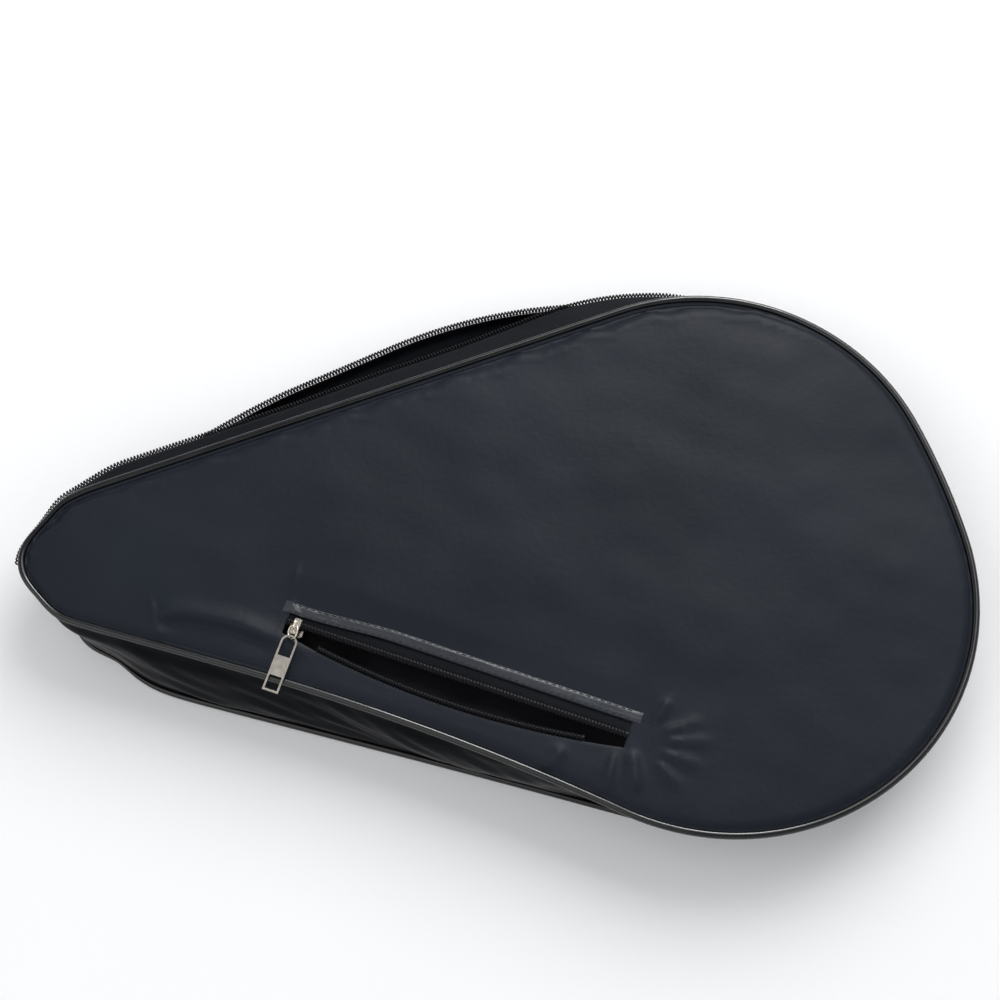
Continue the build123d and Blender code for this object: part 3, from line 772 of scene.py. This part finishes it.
def front_top(points):
    """Height of the front panel's outer face at plan points."""
    rim, index = nearest(points, FRONT_FINE_LINE)
    slot, _ = nearest(points, SLOT_FINE)
    along = index.astype(float)
    heading = FRONT_FINE[index, 2]
    upper = smooth(heading, 140.0, 190.0) * (1 - smooth(heading, 235.0, 265.0))
    inward = rim - RIM_INSET
    dome = DOME * (1 - np.exp(-np.maximum(inward - DOME_START, 0) / DOME_REACH))
    dome *= 0.35 + 0.65 * smooth(points[:, 1], -75.0, -20.0)
    reach = 3.0 + upper * (3.4 + 1.3 * np.sin(along / 5.6) + 0.8 * np.sin(along / 3.1 + 1.0))
    roll = smooth(inward, 0.25 * reach, 1.3 * reach)
    z = RIM_Z - 0.1 + ROLL * roll + dome
    z -= VALLEY * upper * smooth(inward, 0.3, 1.8) * (1 - roll)
    z += CREST * upper * np.exp(-((inward - 1.25 * reach) / 2.0) ** 2)
    # Nothing stands much over the flat cloth round the mouth and under the pull.
    calm = smooth(slot, 2.0, 20.0) * clear_of(points, PULL_LINE, 5.0, 24.0)
    z = FLAT_Z + 0.05 - (FLAT_Z + 0.05 - z) * np.where(z > FLAT_Z, calm, 1.0)
    pucker = (np.sin(along * TURN / PUCKER_PITCH + 1.7 * np.sin(along / 37.0))
              * (0.6 + 0.4 * np.sin(along / 23.0 + 1.0)))
    z += PUCKER * pucker * np.exp(-inward / 5.0) * smooth(inward, 0.0, 1.5)
    gather = smooth(-points[:, 0], 205.0, 240.0)
    wrinkled = np.sin(along * TURN / GATHER_PITCH) + 0.6 * swell(points, 7.0, 13)
    z += GATHER * gather * wrinkled * np.exp(-inward / 9.0) * smooth(inward, 0.0, 2.0)
    ease = smooth(inward, 2.0, 14.0)
    swells = 0.33 * swell(points, 95.0, 11) + 0.1 * swell(points, 30.0, 12)
    z += swells * ease * (0.25 + 0.75 * calm)
    z += ridge_step(points) + crease(points, SHORT_CREASE, 1.3, 1.5)
    z += crease(points, SLIDER_CREASE, 1.1, 1.4)
    for ray in BOX_RAYS:
        z += crease(points, ray, 1.6, 2.0, 1.6)
    room = 0.1 + 0.9 * clear_of(points, PULL_LINE_OPEN, 5.0, 10.0)
    for pleat in LIP_PLEATS:
        z += room * crease(points, pleat, 2.1, 3.0, 1.5) * smooth(inward, 0.0, 3.0)
    return z


def detail_zone(points):
    """Where folds need a finer net."""
    ridge, _ = off_line(points, RIDGE)
    slot, _ = nearest(points, SLOT_FINE)
    return (np.abs(ridge) < 16) | (slot < 26)


def panel_net(front, insets, spacing, fine=None, slot_grows=()):
    """Flat net of a panel, with rings beside its rim and beside the pocket's mouth."""
    states = outline_states(front, spacing)
    rings = [beside(states, inset) for inset in insets]
    edge_line = beside(outline_states(front, 2.0), 0.0)
    box = edge_line.min(axis=0), edge_line.max(axis=0)
    field = hex_field(*box, spacing)
    if fine:
        dense = hex_field(*box, fine)
        field = np.concatenate([field[~detail_zone(field)], dense[detail_zone(dense)]])
    field = field[inside(field, edge_line)]
    rim, _ = nearest(field, edge_line)
    field = field[rim > insets[-1] + 0.6 * spacing]
    mouth = [slot_loop(grow, 2.0) for grow in slot_grows]
    if mouth:
        gap, _ = nearest(field, mouth[-1])
        field = field[~inside(field, mouth[-1]) & (gap > 1.0)]
    return flat_net(rings[:1] + mouth[:1], np.concatenate(rings[1:] + mouth[1:] + [field]))


def bends(piece):
    """Bake a piece's transform into its mesh."""
    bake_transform(piece)


def front_cover():
    points, triangles = panel_net(True, insets=(RIM_INSET, 2.7, 3.8, 5.4, 7.6), spacing=3.2,
                                  fine=1.8, slot_grows=(0.0, 0.7, 1.8))
    slot, _ = nearest(points, SLOT_FINE)
    top = front_top(points) - MOUTH_DROP * np.exp(-slot / 0.6)
    body = thick_net(points, triangles, top, FOAM_LOW_Z, walls=((0.12, 46.55), (1.45, 46.45)),
                     draw_in=1.6)
    piece = add_piece("front_cover", body, PANEL_CLOTH, 60.0)
    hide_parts("front_panel_lower", "front_panel_upper",
                "front_padding_lower", "front_padding_upper")
    bends(piece)


def front_lining():
    points, triangles = panel_net(True, insets=(3.6,), spacing=5.0, slot_grows=(1.6,))
    ripple = 0.12 * swell(points, 26.0, 21)
    body = thick_net(points, triangles, 44.05, 43.65 - np.abs(ripple))
    piece = add_piece("front_lining", body, LINING_CLOTH)
    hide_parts("front_lining_lower", "front_lining_upper")
    bends(piece)


def piping_wave(states, seed):
    """Slight unevenness of a sewn-in cord, closed along the outline."""
    rng = np.random.default_rng(seed)
    part = np.linspace(0, 2 * math.pi, len(states), endpoint=False)
    total = np.zeros(len(states))
    for turns in (3, 5, 9, 14, 23, 41, 57):
        total += math.sqrt(1 / turns) * np.cos(turns * part + rng.uniform(0, 2 * math.pi))
    return total


def cord_section(z, sides):
    return round_section(0.0, z, PIPING_R, PIPING_R, 1.0, sides)


def binding_section(z, half_z):
    """The tape folded over the raw seam, just inside the piping."""
    return round_section(2.95, z, 0.35, half_z, 0.5, 10)


def front_piping():
    states = outline_states(True, 2.0)
    cord = swept(states, cord_section(PIPING_Z, 16), True, 0.13 * piping_wave(states, 5))
    piece = add_piece("front_piping", cord, PIPING_VINYL)
    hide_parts("front_piping_lower", "front_piping_upper")
    bends(piece)


def front_binding():
    tape = swept(outline_states(True, 4.0), binding_section(45.35, 0.9), True)
    piece = add_piece("seam_binding_round_front", tape, BINDING_CLOTH)
    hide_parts("seam_binding_front", "seam_binding_flap")
    bends(piece)


# ---- back panel ----
BACK_FINE_LINE = beside(outline_states(False, 1.0), 0.0)


def back_cover():
    points, triangles = panel_net(False, insets=(2.0, 3.2, 5.0, 8.0), spacing=5.0)
    rim, index = nearest(points, BACK_FINE_LINE)
    inward = rim - 2.0
    pucker = 0.2 * (1 + np.sin(index * TURN / 12.0)) * np.exp(-inward / 6.0)
    sag = 0.22 * (1 + np.tanh(swell(points, 60.0, 31)))
    low = 0.9 * np.exp(-inward / 2.5) + pucker + sag
    body = thick_net(points, triangles, 3.35, low)
    piece = add_piece("back_cover", body, PANEL_CLOTH)
    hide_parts("back_panel", "back_padding")
    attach(piece, "root")


def back_lining():
    points, triangles = panel_net(False, insets=(3.6,), spacing=6.0)
    ripple = np.abs(swell(points, 34.0, 33)) * 0.35
    body = thick_net(points, triangles, 3.85 + ripple, 3.45 + ripple)
    piece = add_piece("back_lining_sheet", body, LINING_CLOTH)
    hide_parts("back_lining")
    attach(piece, "root")


def back_piping():
    states = outline_states(False, 2.5)
    wave = 0.04 * np.abs(piping_wave(states, 6))
    cord = swept(states, cord_section(BACK_PIPING_Z, 14), True, wave)
    piece = add_piece("back_piping_cord", cord, PIPING_VINYL)
    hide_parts("back_piping")
    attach(piece, "root")


def back_binding():
    tape = swept(outline_states(False, 4.0), binding_section(4.0, 0.5), True)
    piece = add_piece("seam_binding_round_back", tape, BINDING_CLOTH)
    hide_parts("seam_binding_back")
    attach(piece, "root")


# ---- gusset ----
def gusset_states():
    """Matched states along the gusset's front and back edges, from the tip to the zip's end."""
    back_turn = GUSSET_END + BACK_LEAD + 90 - walk(BACK_START, BACK[:CROWN])[2]
    front_turn = GUSSET_END + 90 - CROWN_STATE[2]
    front_steps = [FRONT[TIP]] + FRONT[:CROWN] + [(FRONT_ARCS[3][0], front_turn)]
    back_steps = [BACK[TIP]] + BACK[:CROWN] + [(BACK_ARCS[3][0], back_turn)]
    counts = counts_for(front_steps, 2.4)
    front = trace(TIP_STATE, front_steps, counts)
    return front, trace(walk(BACK_START, BACK[:TIP]), back_steps, counts)


def gusset():
    """The cloth wall: bellied out by the flank, drawn in round the head, and folded."""
    front, back = gusset_states()
    rows = 22
    high = beside(front, 1.3)
    low = beside(back, 1.3)
    along = lengths_along(high)
    out = outward(front)
    head = smooth(front[:, 0], -20.0, 90.0)
    belly = 4.5 * (1 - head) * smooth(along, 60.0, 130.0) - 4.0 * head
    grid = np.zeros((rows, len(front), 3))
    for i, t in enumerate(np.linspace(0, 1, rows)):
        arch = math.sin(math.pi * t)
        field = np.column_stack([along + 26.0 * t, np.full(len(along), t * 40.0)])
        folds = (0.7 * swell(field * (0.3, 1.0), 30.0, 41)
                 + 0.25 * swell(field * (0.7, 1.0), 17.0, 42))
        dip = 1.1 * np.exp(-((t - 0.88) / 0.045) ** 2)     # below the front seam
        push = belly * arch + folds * min(1.0, 2.2 * arch) - dip
        grid[i, :, :2] = low * (1 - t) + high * t + out * push[:, None]
        grid[i, :, 2] = WALL_LOW_Z + t * (SEAM_Z - WALL_LOW_Z)
    wall = sheet_body(grid, CLOTH)
    piece = add_piece("gusset_cloth_wall", wall, GUSSET_CLOTH, 80.0)
    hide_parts("lower_gusset")
    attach(piece, "root")


def rows_between(low, high, low_z, high_z, rows):
    share = np.linspace(0, 1, rows)[:, None, None]
    low3 = np.column_stack([low, np.full(len(low), low_z)])[None]
    high3 = np.column_stack([high, np.full(len(high), high_z)])[None]
    return low3 * (1 - share) + high3 * share


def pushed(states, inward):
    """The same path moved sideways, with its headings found again."""
    plan = beside(states, inward)
    step = np.gradient(plan, axis=0)
    heading = np.degrees(np.unwrap(np.arctan2(step[:, 1], step[:, 0])))
    return np.column_stack([plan, heading])


def tape_ripple(grid, states, seed, height):
    """Small waves across a strip of tape, none along its two edges."""
    along = lengths_along(beside(states, 0.0))
    field = np.column_stack([along, np.zeros(len(along))])
    wave = height * swell(field, 34.0, seed)
    share = np.sin(np.linspace(0, math.pi, len(grid)))
    grid[:, :, :2] += share[:, None, None] * (outward(states) * wave[:, None])[None]
    return grid


def zip_teeth(states, low_z):
    """The coil of a zip half: as in the frame where the slider runs, fuller beyond."""
    fuller = 1 + 0.6 * smooth(lengths_along(beside(states, 0.0)), 68.0, 92.0)
    return coil_body(states, COIL_INSET, low_z + COIL_W / 2, COIL_H / 2, COIL_W / 2, fuller)


def front_zip():
    """Its line settles in towards the tip, bulges above the head and rises round the tip."""
    edge = crown_state(ZIP_START, FRONT_ARCS[3][0])
    steps = mouth_steps(edge, FRONT_ARCS[3][0], FLANK_STATE[2], FRONT[HIGH_FLANK])
    steps = steps[:2] + [FRONT[HIGH_FLANK], (FRONT_TIP_R, TIP_RUN)]
    zip_steps = FRONT_ZIP + [(FRONT_TIP_R + FRONT_SPLAY, TIP_RUN)]
    counts = counts_for(zip_steps, 2.0)
    seam = trace(edge, steps, counts)
    zipped = trace(ZIP_STATE, zip_steps, counts)
    x = zipped[:, 0]
    past = (zipped[:, 2] - FLANK_STATE[2]) / TIP_RUN
    settle = (1.6 * smooth(-x, 60.0, 120.0) + 5.2 * smooth(-x, 200.0, 232.0)
              + 4.2 * smooth(past, 0.0, 0.75))
    bulge = 4.6 * smooth(zipped[:, 2] - 90, 74.0, 90.0) * (1 - smooth(-x, -70.0, 40.0))
    zipped = pushed(zipped, settle - bulge)
    run = lengths_along(zipped[:, :2])
    lift = 1.6 * smooth(run, 68.0, 110.0) + 3.0 * smooth(past, -0.05, 0.8)
    line = beside(zipped, TAPE_INSET)
    fall = rows_between(line, beside(seam, 0.95), TAPE_BEND_Z, SEAM_Z, 9)
    level = rows_between(line, line, FRONT_COIL_LOW, TAPE_BEND_Z, 5)[:-1]
    grid = np.concatenate([level, tape_ripple(fall, zipped, 51, 0.35)])
    grid[:, :, 2] += lift[None] * np.linspace(1, 0, len(grid))[:, None]
    tape = add_piece("zip_tape_front", sheet_body(grid, TAPE), TAPE_CLOTH, 80.0)
    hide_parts("front_zip_tape")
    bends(tape)
    points, faces = zip_teeth(zipped, FRONT_COIL_LOW)
    _, index = nearest(points[:, :2], zipped[:, :2])
    points[:, 2] += lift[index]
    teeth = add_piece("zip_coil_front", (points, faces), COIL_NYLON)
    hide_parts("front_zip_coil")
    bends(teeth)


def rear_zip():
    edge = back_crown_state(ZIP_START + BACK_LEAD)
    crown_end = walk(BACK_START, BACK[:HIGH_FLANK])[2]
    steps = mouth_steps(edge, BACK_ARCS[3][0], crown_end, BACK[HIGH_FLANK])
    counts = counts_for(REAR_ZIP, 2.4)
    seam = trace(edge, steps, counts)
    zipped = trace(ZIP_STATE, REAR_ZIP, counts)
    zipped = pushed(zipped, 10.0 * smooth(-zipped[:, 0], 112.0, 215.0))
    seam_line = beside(seam, 1.3)
    zip_line = beside(zipped, TAPE_INSET)
    middle = seam_line * (1 - STRIP_SHARE) + zip_line * STRIP_SHARE
    seam_z = WALL_LOW_Z + STRIP_SHARE * (REAR_BEND_Z - WALL_LOW_Z)
    strip_grid = rows_between(seam_line, middle, WALL_LOW_Z, seam_z, 8)
    wall = sheet_body(tape_ripple(strip_grid, zipped, 52, 0.5), STRIP_CLOTH)
    strip = add_piece("rear_strip_cloth", wall, GUSSET_CLOTH, 80.0)
    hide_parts("rear_gusset_strip")
    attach(strip, "root")
    upper = rows_between(middle, zip_line, seam_z, REAR_BEND_Z, 6)
    level = rows_between(zip_line, zip_line, REAR_BEND_Z, REAR_COIL_LOW + COIL_W, 5)[1:]
    tape_grid = tape_ripple(np.concatenate([upper, level]), zipped, 53, 0.3)
    tape = add_piece("zip_tape_rear", sheet_body(tape_grid, TAPE), TAPE_CLOTH, 80.0)
    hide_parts("rear_zip_tape")
    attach(tape, "root")
    coil = zip_teeth(zipped, REAR_COIL_LOW)
    teeth = add_piece("zip_coil_rear", coil, COIL_NYLON)
    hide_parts("rear_zip_coil")
    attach(teeth, "root")


def tab_grid(start, radius, sweep, inset, low_z, high_z, cols, rows):
    """States and grid of an upright strip of cloth beside an arc."""
    states = trace(start, [(radius, sweep)], [cols])
    line = beside(states, inset)
    return states, rows_between(line, line, low_z, high_z, rows)


def end_tabs():
    radius = FRONT_ARCS[3][0]
    states, grid = tab_grid(crown_state(35.2, radius), radius, 3.6, 2.0, 5.2, 43.9, 10, 16)
    bulge = np.outer(np.sin(np.linspace(0, math.pi, 16)), np.sin(np.linspace(0, math.pi, 11)))
    grid[:, :, :2] += 0.7 * bulge[:, :, None] * outward(states)[None]
    head = add_piece("end_tab_head", sheet_body(grid, CLOTH), GUSSET_CLOTH)
    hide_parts("zip_end_tab_head")
    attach(head, "root")
    _, grid = tab_grid(TIP_STATE, FRONT_TIP_R, 24.0, -2.0, 22.2, 41.8, 14, 10)
    tip = add_piece("end_tab_tip", sheet_body(grid, CLOTH), GUSSET_CLOTH)
    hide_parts("zip_end_tab_tip")
    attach(tip, "root")


# ---- pocket ----
def pocket_states(u_start, u_end, v, spacing):
    """States along a straight line in the pocket's frame."""
    count = max(2, round((u_end - u_start) / spacing))
    plan = in_pocket(np.linspace(u_start, u_end, count + 1), np.full(count + 1, v))
    return np.column_stack([plan, np.full(count + 1, POCKET_ANGLE)])


def lip_states(spacing):
    """States along the lower lip of the mouth."""
    end = 2 * SLOT_MIDDLE - LIP_START
    u = np.linspace(LIP_START, end, round((end - LIP_START) / spacing))
    turn = np.degrees(np.arcsin((u - SLOT_MIDDLE) / bow_radius((SLOT_END - SLOT_START) / 2)))
    return np.column_stack([in_pocket(u, lip_v(u)), POCKET_ANGLE + turn])


def pocket_tape(states, inset, half_width):
    return swept(states, round_section(inset, 46.95, half_width, TAPE / 2, 0.35, 10))


def pocket_zip():
    upper = pocket_states(SLOT_START, SLOT_END, 0.0, 2.0)
    lower = lip_states(2.0)
    tapes = joined([pocket_tape(upper, 4.9, 4.1), pocket_tape(lower, 1.75, 1.65)])
    tape = add_piece("pocket_zip_tapes", tapes, TAPE_CLOTH)
    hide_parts("pocket_upper_tape", "pocket_lower_tape")
    upper_coil = coil_body(upper, inset=1.8, z=48.5, half_inset=2.35, half_z=1.2)
    teeth = add_piece("pocket_coil_above", upper_coil, COIL_NYLON)
    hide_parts("pocket_upper_coil")
    lower_coil = coil_body(lower, LIP_TAPE - 1.6, z=48.45, half_inset=1.7, half_z=1.1)
    low_teeth = add_piece("pocket_coil_below", lower_coil, COIL_NYLON)
    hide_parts("pocket_lower_coil")
    for piece in (tape, teeth, low_teeth):
        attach(piece, "root")


WELT_GAP = 0.3                # from the mouth's upper edge to the welt
WELT_W = 6.0
WELT_ROWS = 150
WELT_COLS = 13
WELT_HEIGHT = 0.75


def welt_shift(u):
    """The welt leans down towards the coil at the slider's end."""
    return -3.0 * (1 - smooth(u, 0.0, 55.0))


def pocket_welt():
    """Folded strip above the mouth, slightly stuffed, drawn down along its stitched edges."""
    u = np.linspace(SLOT_START - 4, SLOT_END + 4, WELT_ROWS)
    v = np.linspace(SLOT_TOP + WELT_GAP, SLOT_TOP + WELT_GAP + WELT_W, WELT_COLS)
    flat_u, flat_v = (side.ravel() for side in np.meshgrid(u, v, indexing="ij"))
    plan = in_pocket(flat_u, flat_v + welt_shift(flat_u))
    base = front_top(plan)
    across = np.abs((flat_v - v.mean()) / (WELT_W / 2))
    ends = smooth(flat_u, u[0], u[0] + 2) * (1 - smooth(flat_u, u[-1] - 2, u[-1]))
    pucker = 0.09 * np.sin(flat_u * TURN / 3.7) * np.exp(-((across - 0.75) / 0.2) ** 2)
    stuffing = 0.16 * swell(plan, 14.0, 61) * (1 - across ** 2)
    dip = 0.3 * np.exp(-((across - 0.72) / 0.1) ** 2)
    rise = 0.1 + WELT_HEIGHT * (1 - across ** 6) - dip + pucker + stuffing
    rise = np.maximum(rise * (0.3 + 0.7 * ends), 0.08)
    top = np.column_stack([plan, base + rise]).reshape(WELT_ROWS, WELT_COLS, 3)
    points, faces = sheet_body(top, 0.02)
    points[len(plan):] = np.column_stack([plan, base + 0.02])
    piece = add_piece("pocket_welt_strip", (points, faces), WELT_CLOTH_PAINTED_SHEEN, 70.0)
    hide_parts("pocket_welt")
    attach(piece, "root")


def box_corners(u_pair, v_pair):
    """Corners of a box in the pocket's frame, counter-clockwise."""
    (left, right), (low, high) = u_pair, v_pair
    return in_pocket(np.array([left, right, right, left]), np.array([low, low, high, high]))


def box_line(u_pair, v_pair, count):
    """A box's closed outline, with count points on each side."""
    corners = box_corners(u_pair, v_pair)
    sides = [np.linspace(a, b, count, endpoint=False)
             for a, b in zip(corners, np.roll(corners, -1, 0))]
    return np.concatenate(sides)


def pocket_bag():
    left, right = SLOT_START - BAG_MARGIN, SLOT_END + BAG_MARGIN
    low = -SLOT_HALF - SLOT_BOW - BAG_MARGIN
    rows, cols = 66, 40
    flat_u, flat_v = (side.ravel() for side in np.meshgrid(
        np.linspace(left, right, rows), np.linspace(low, BAG_DEPTH, cols), indexing="ij"))
    edge = np.minimum(np.minimum(flat_u - left, right - flat_u),
                      np.minimum(flat_v - low, BAG_DEPTH - flat_v))
    plan = in_pocket(flat_u, flat_v)
    depth = (BAG_TOP_Z - BAG_LOW_Z - 0.9) * (1 - np.exp(-edge / 7.0))
    sag = 0.4 * swell(plan, 30.0, 71) * smooth(edge, 2.0, 14.0)
    grid = np.column_stack([plan, BAG_TOP_Z - 0.75 - depth + sag]).reshape(rows, cols, 3)
    rear = add_piece("pocket_bag_back", sheet_body(grid, BAG_CLOTH), LINING_CLOTH)
    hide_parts("pocket_bag_rear")
    loop = box_line((left, right), (low, BAG_DEPTH), 24)
    hole = slot_loop(1.5, 2.0)
    field = hex_field(loop.min(axis=0), loop.max(axis=0), 7.0)
    gap, _ = nearest(field, np.concatenate([loop, hole]))
    field = field[inside(field, loop) & ~inside(field, hole) & (gap > 3.0)]
    points, triangles = flat_net([loop, hole], field)
    body = thick_net(points, triangles, BAG_TOP_Z, BAG_TOP_Z - BAG_CLOTH)
    face = add_piece("pocket_bag_face", body, LINING_CLOTH)
    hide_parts("pocket_bag_front")
    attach(rear, "root")
    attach(face, "root")


def stitching():
    """Sewn rows on the front panel: two on the welt, and at the mouth's ends a box and a bar."""
    rows = []
    for v in (SLOT_TOP + 1.15, SLOT_TOP + 5.45):
        u = np.linspace(SLOT_START - 2, SLOT_END + 2, 90)
        rows.append(stitch_body(in_pocket(u, v + welt_shift(u)), 0.62))
    box = box_corners((180.5, 190.5), (-12.0, 12.0))
    sides = [np.linspace(a, b, 8) for a, b in zip(box, np.roll(box, -1, 0))]
    bar = in_pocket(np.array([-9.0, -9.0]), np.array([9.0, -9.0]))
    for line in sides + [bar]:
        rows.append(stitch_body(line, 0.02, length=2.2, gap=0.9))
    piece = add_piece("pocket_stitching", joined(rows), THREAD)
    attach(piece, "root")


# ---- hardware: the frame's own shapes, with softened edges and a plated finish ----
def hardware():
    for name in ("main_slider", "main_ring", "main_pull",
                 "pocket_slider", "pocket_ring", "pocket_pull"):
        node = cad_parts[name]
        node.data.materials.clear()
        node.data.materials.append(NICKEL)
        if not name.endswith("ring"):
            bevel = node.modifiers.new("softened", "BEVEL")
            bevel.width = 0.16 * MM
            bevel.segments = 2
            bevel.limit_method = "ANGLE"
            bevel.angle_limit = rad(40)


# ---- studio, in metres: the glare lamp only shows in the gloss ----
FLOOR_HALF = 3.0
FLOOR_Z = -0.0004
LAMPS = (("key", (0.5, 0.95, 1.25), 1.3, 18.0), ("fill", (-0.8, -0.5, 1.4), 1.6, 8.0),
         ("glare", (0.3, 1.1, 0.85), 0.35, 9.0))      # name, place, size and power


def studio():
    scene = bpy.context.scene
    scene.view_settings.view_transform = "Standard"
    world = bpy.data.worlds.new("studio")
    world.use_nodes = True
    tree = world.node_tree
    coords = tree.nodes.new("ShaderNodeTexCoord").outputs["Generated"]
    height = new_node(tree, "ShaderNodeSeparateXYZ", {"Vector": coords}).outputs["Z"]
    sky = tones(tree, height, (0.93, 0.94, 0.96), (0.36, 0.37, 0.39), low=0.25, high=0.95)
    background = next(n for n in tree.nodes if n.type == "BACKGROUND")
    wired(tree, background, {"Strength": 0.95, "Color": sky})
    scene.world = world
    corners = [(x * FLOOR_HALF, y * FLOOR_HALF, FLOOR_Z)
               for x, y in ((-1, -1), (1, -1), (1, 1), (-1, 1))]
    mesh = bpy.data.meshes.new("floor")
    mesh.from_pydata(corners, [], [(0, 1, 2, 3)])
    material, tree, shader, coords = new_material("floor_paper")
    paper = tones(tree, noise(tree, coords, scale=3.0), (0.88, 0.88, 0.88), (0.9, 0.9, 0.9))
    wired(tree, shader, {"Base Color": paper, "Roughness": 0.9})
    mesh.materials.append(material)
    floor = bpy.data.objects.new("floor", mesh)
    scene.collection.objects.link(floor)
    for name, place, size, power in LAMPS:
        light = bpy.data.lights.new(name, "AREA")
        light.size = size
        light.energy = power
        lamp = bpy.data.objects.new(name, light)
        lamp.location = place
        lamp.rotation_euler = (-Vector(place)).to_track_quat("-Z", "Y").to_euler()
        lamp.visible_diffuse = name != "glare"
        scene.collection.objects.link(lamp)


def camera():
    """Seen from in front and well above: tilted 22 degrees from straight down."""
    tilt = rad(22.0)
    roll = rad(0.375)
    distance = 1.1
    aim = Vector((0.0, 0.0302, 0.046))
    forward = Vector((0, math.sin(tilt), -math.cos(tilt)))
    right = Vector((1, 0, 0))
    up = Vector((0, math.cos(tilt), math.sin(tilt)))
    turned_right = right * math.cos(roll) + up * math.sin(roll)
    turned_up = up * math.cos(roll) - right * math.sin(roll)
    data = bpy.data.cameras.new("camera")
    data.lens = 75.2
    data.sensor_width = 36.0
    data.clip_start = 0.05
    view = bpy.data.objects.new("camera", data)
    bpy.context.scene.collection.objects.link(view)
    rotation = Matrix((turned_right, turned_up, -forward)).transposed()
    view.matrix_world = Matrix.Translation(aim - forward * distance) @ rotation.to_4x4()
    bpy.context.scene.camera = view


for make in (camera, studio, back_cover, back_lining, back_piping, back_binding, front_cover,
             front_lining, front_piping, front_binding, gusset, front_zip, rear_zip, end_tabs,
             pocket_zip, pocket_welt, pocket_bag, stitching, hardware):
    make()
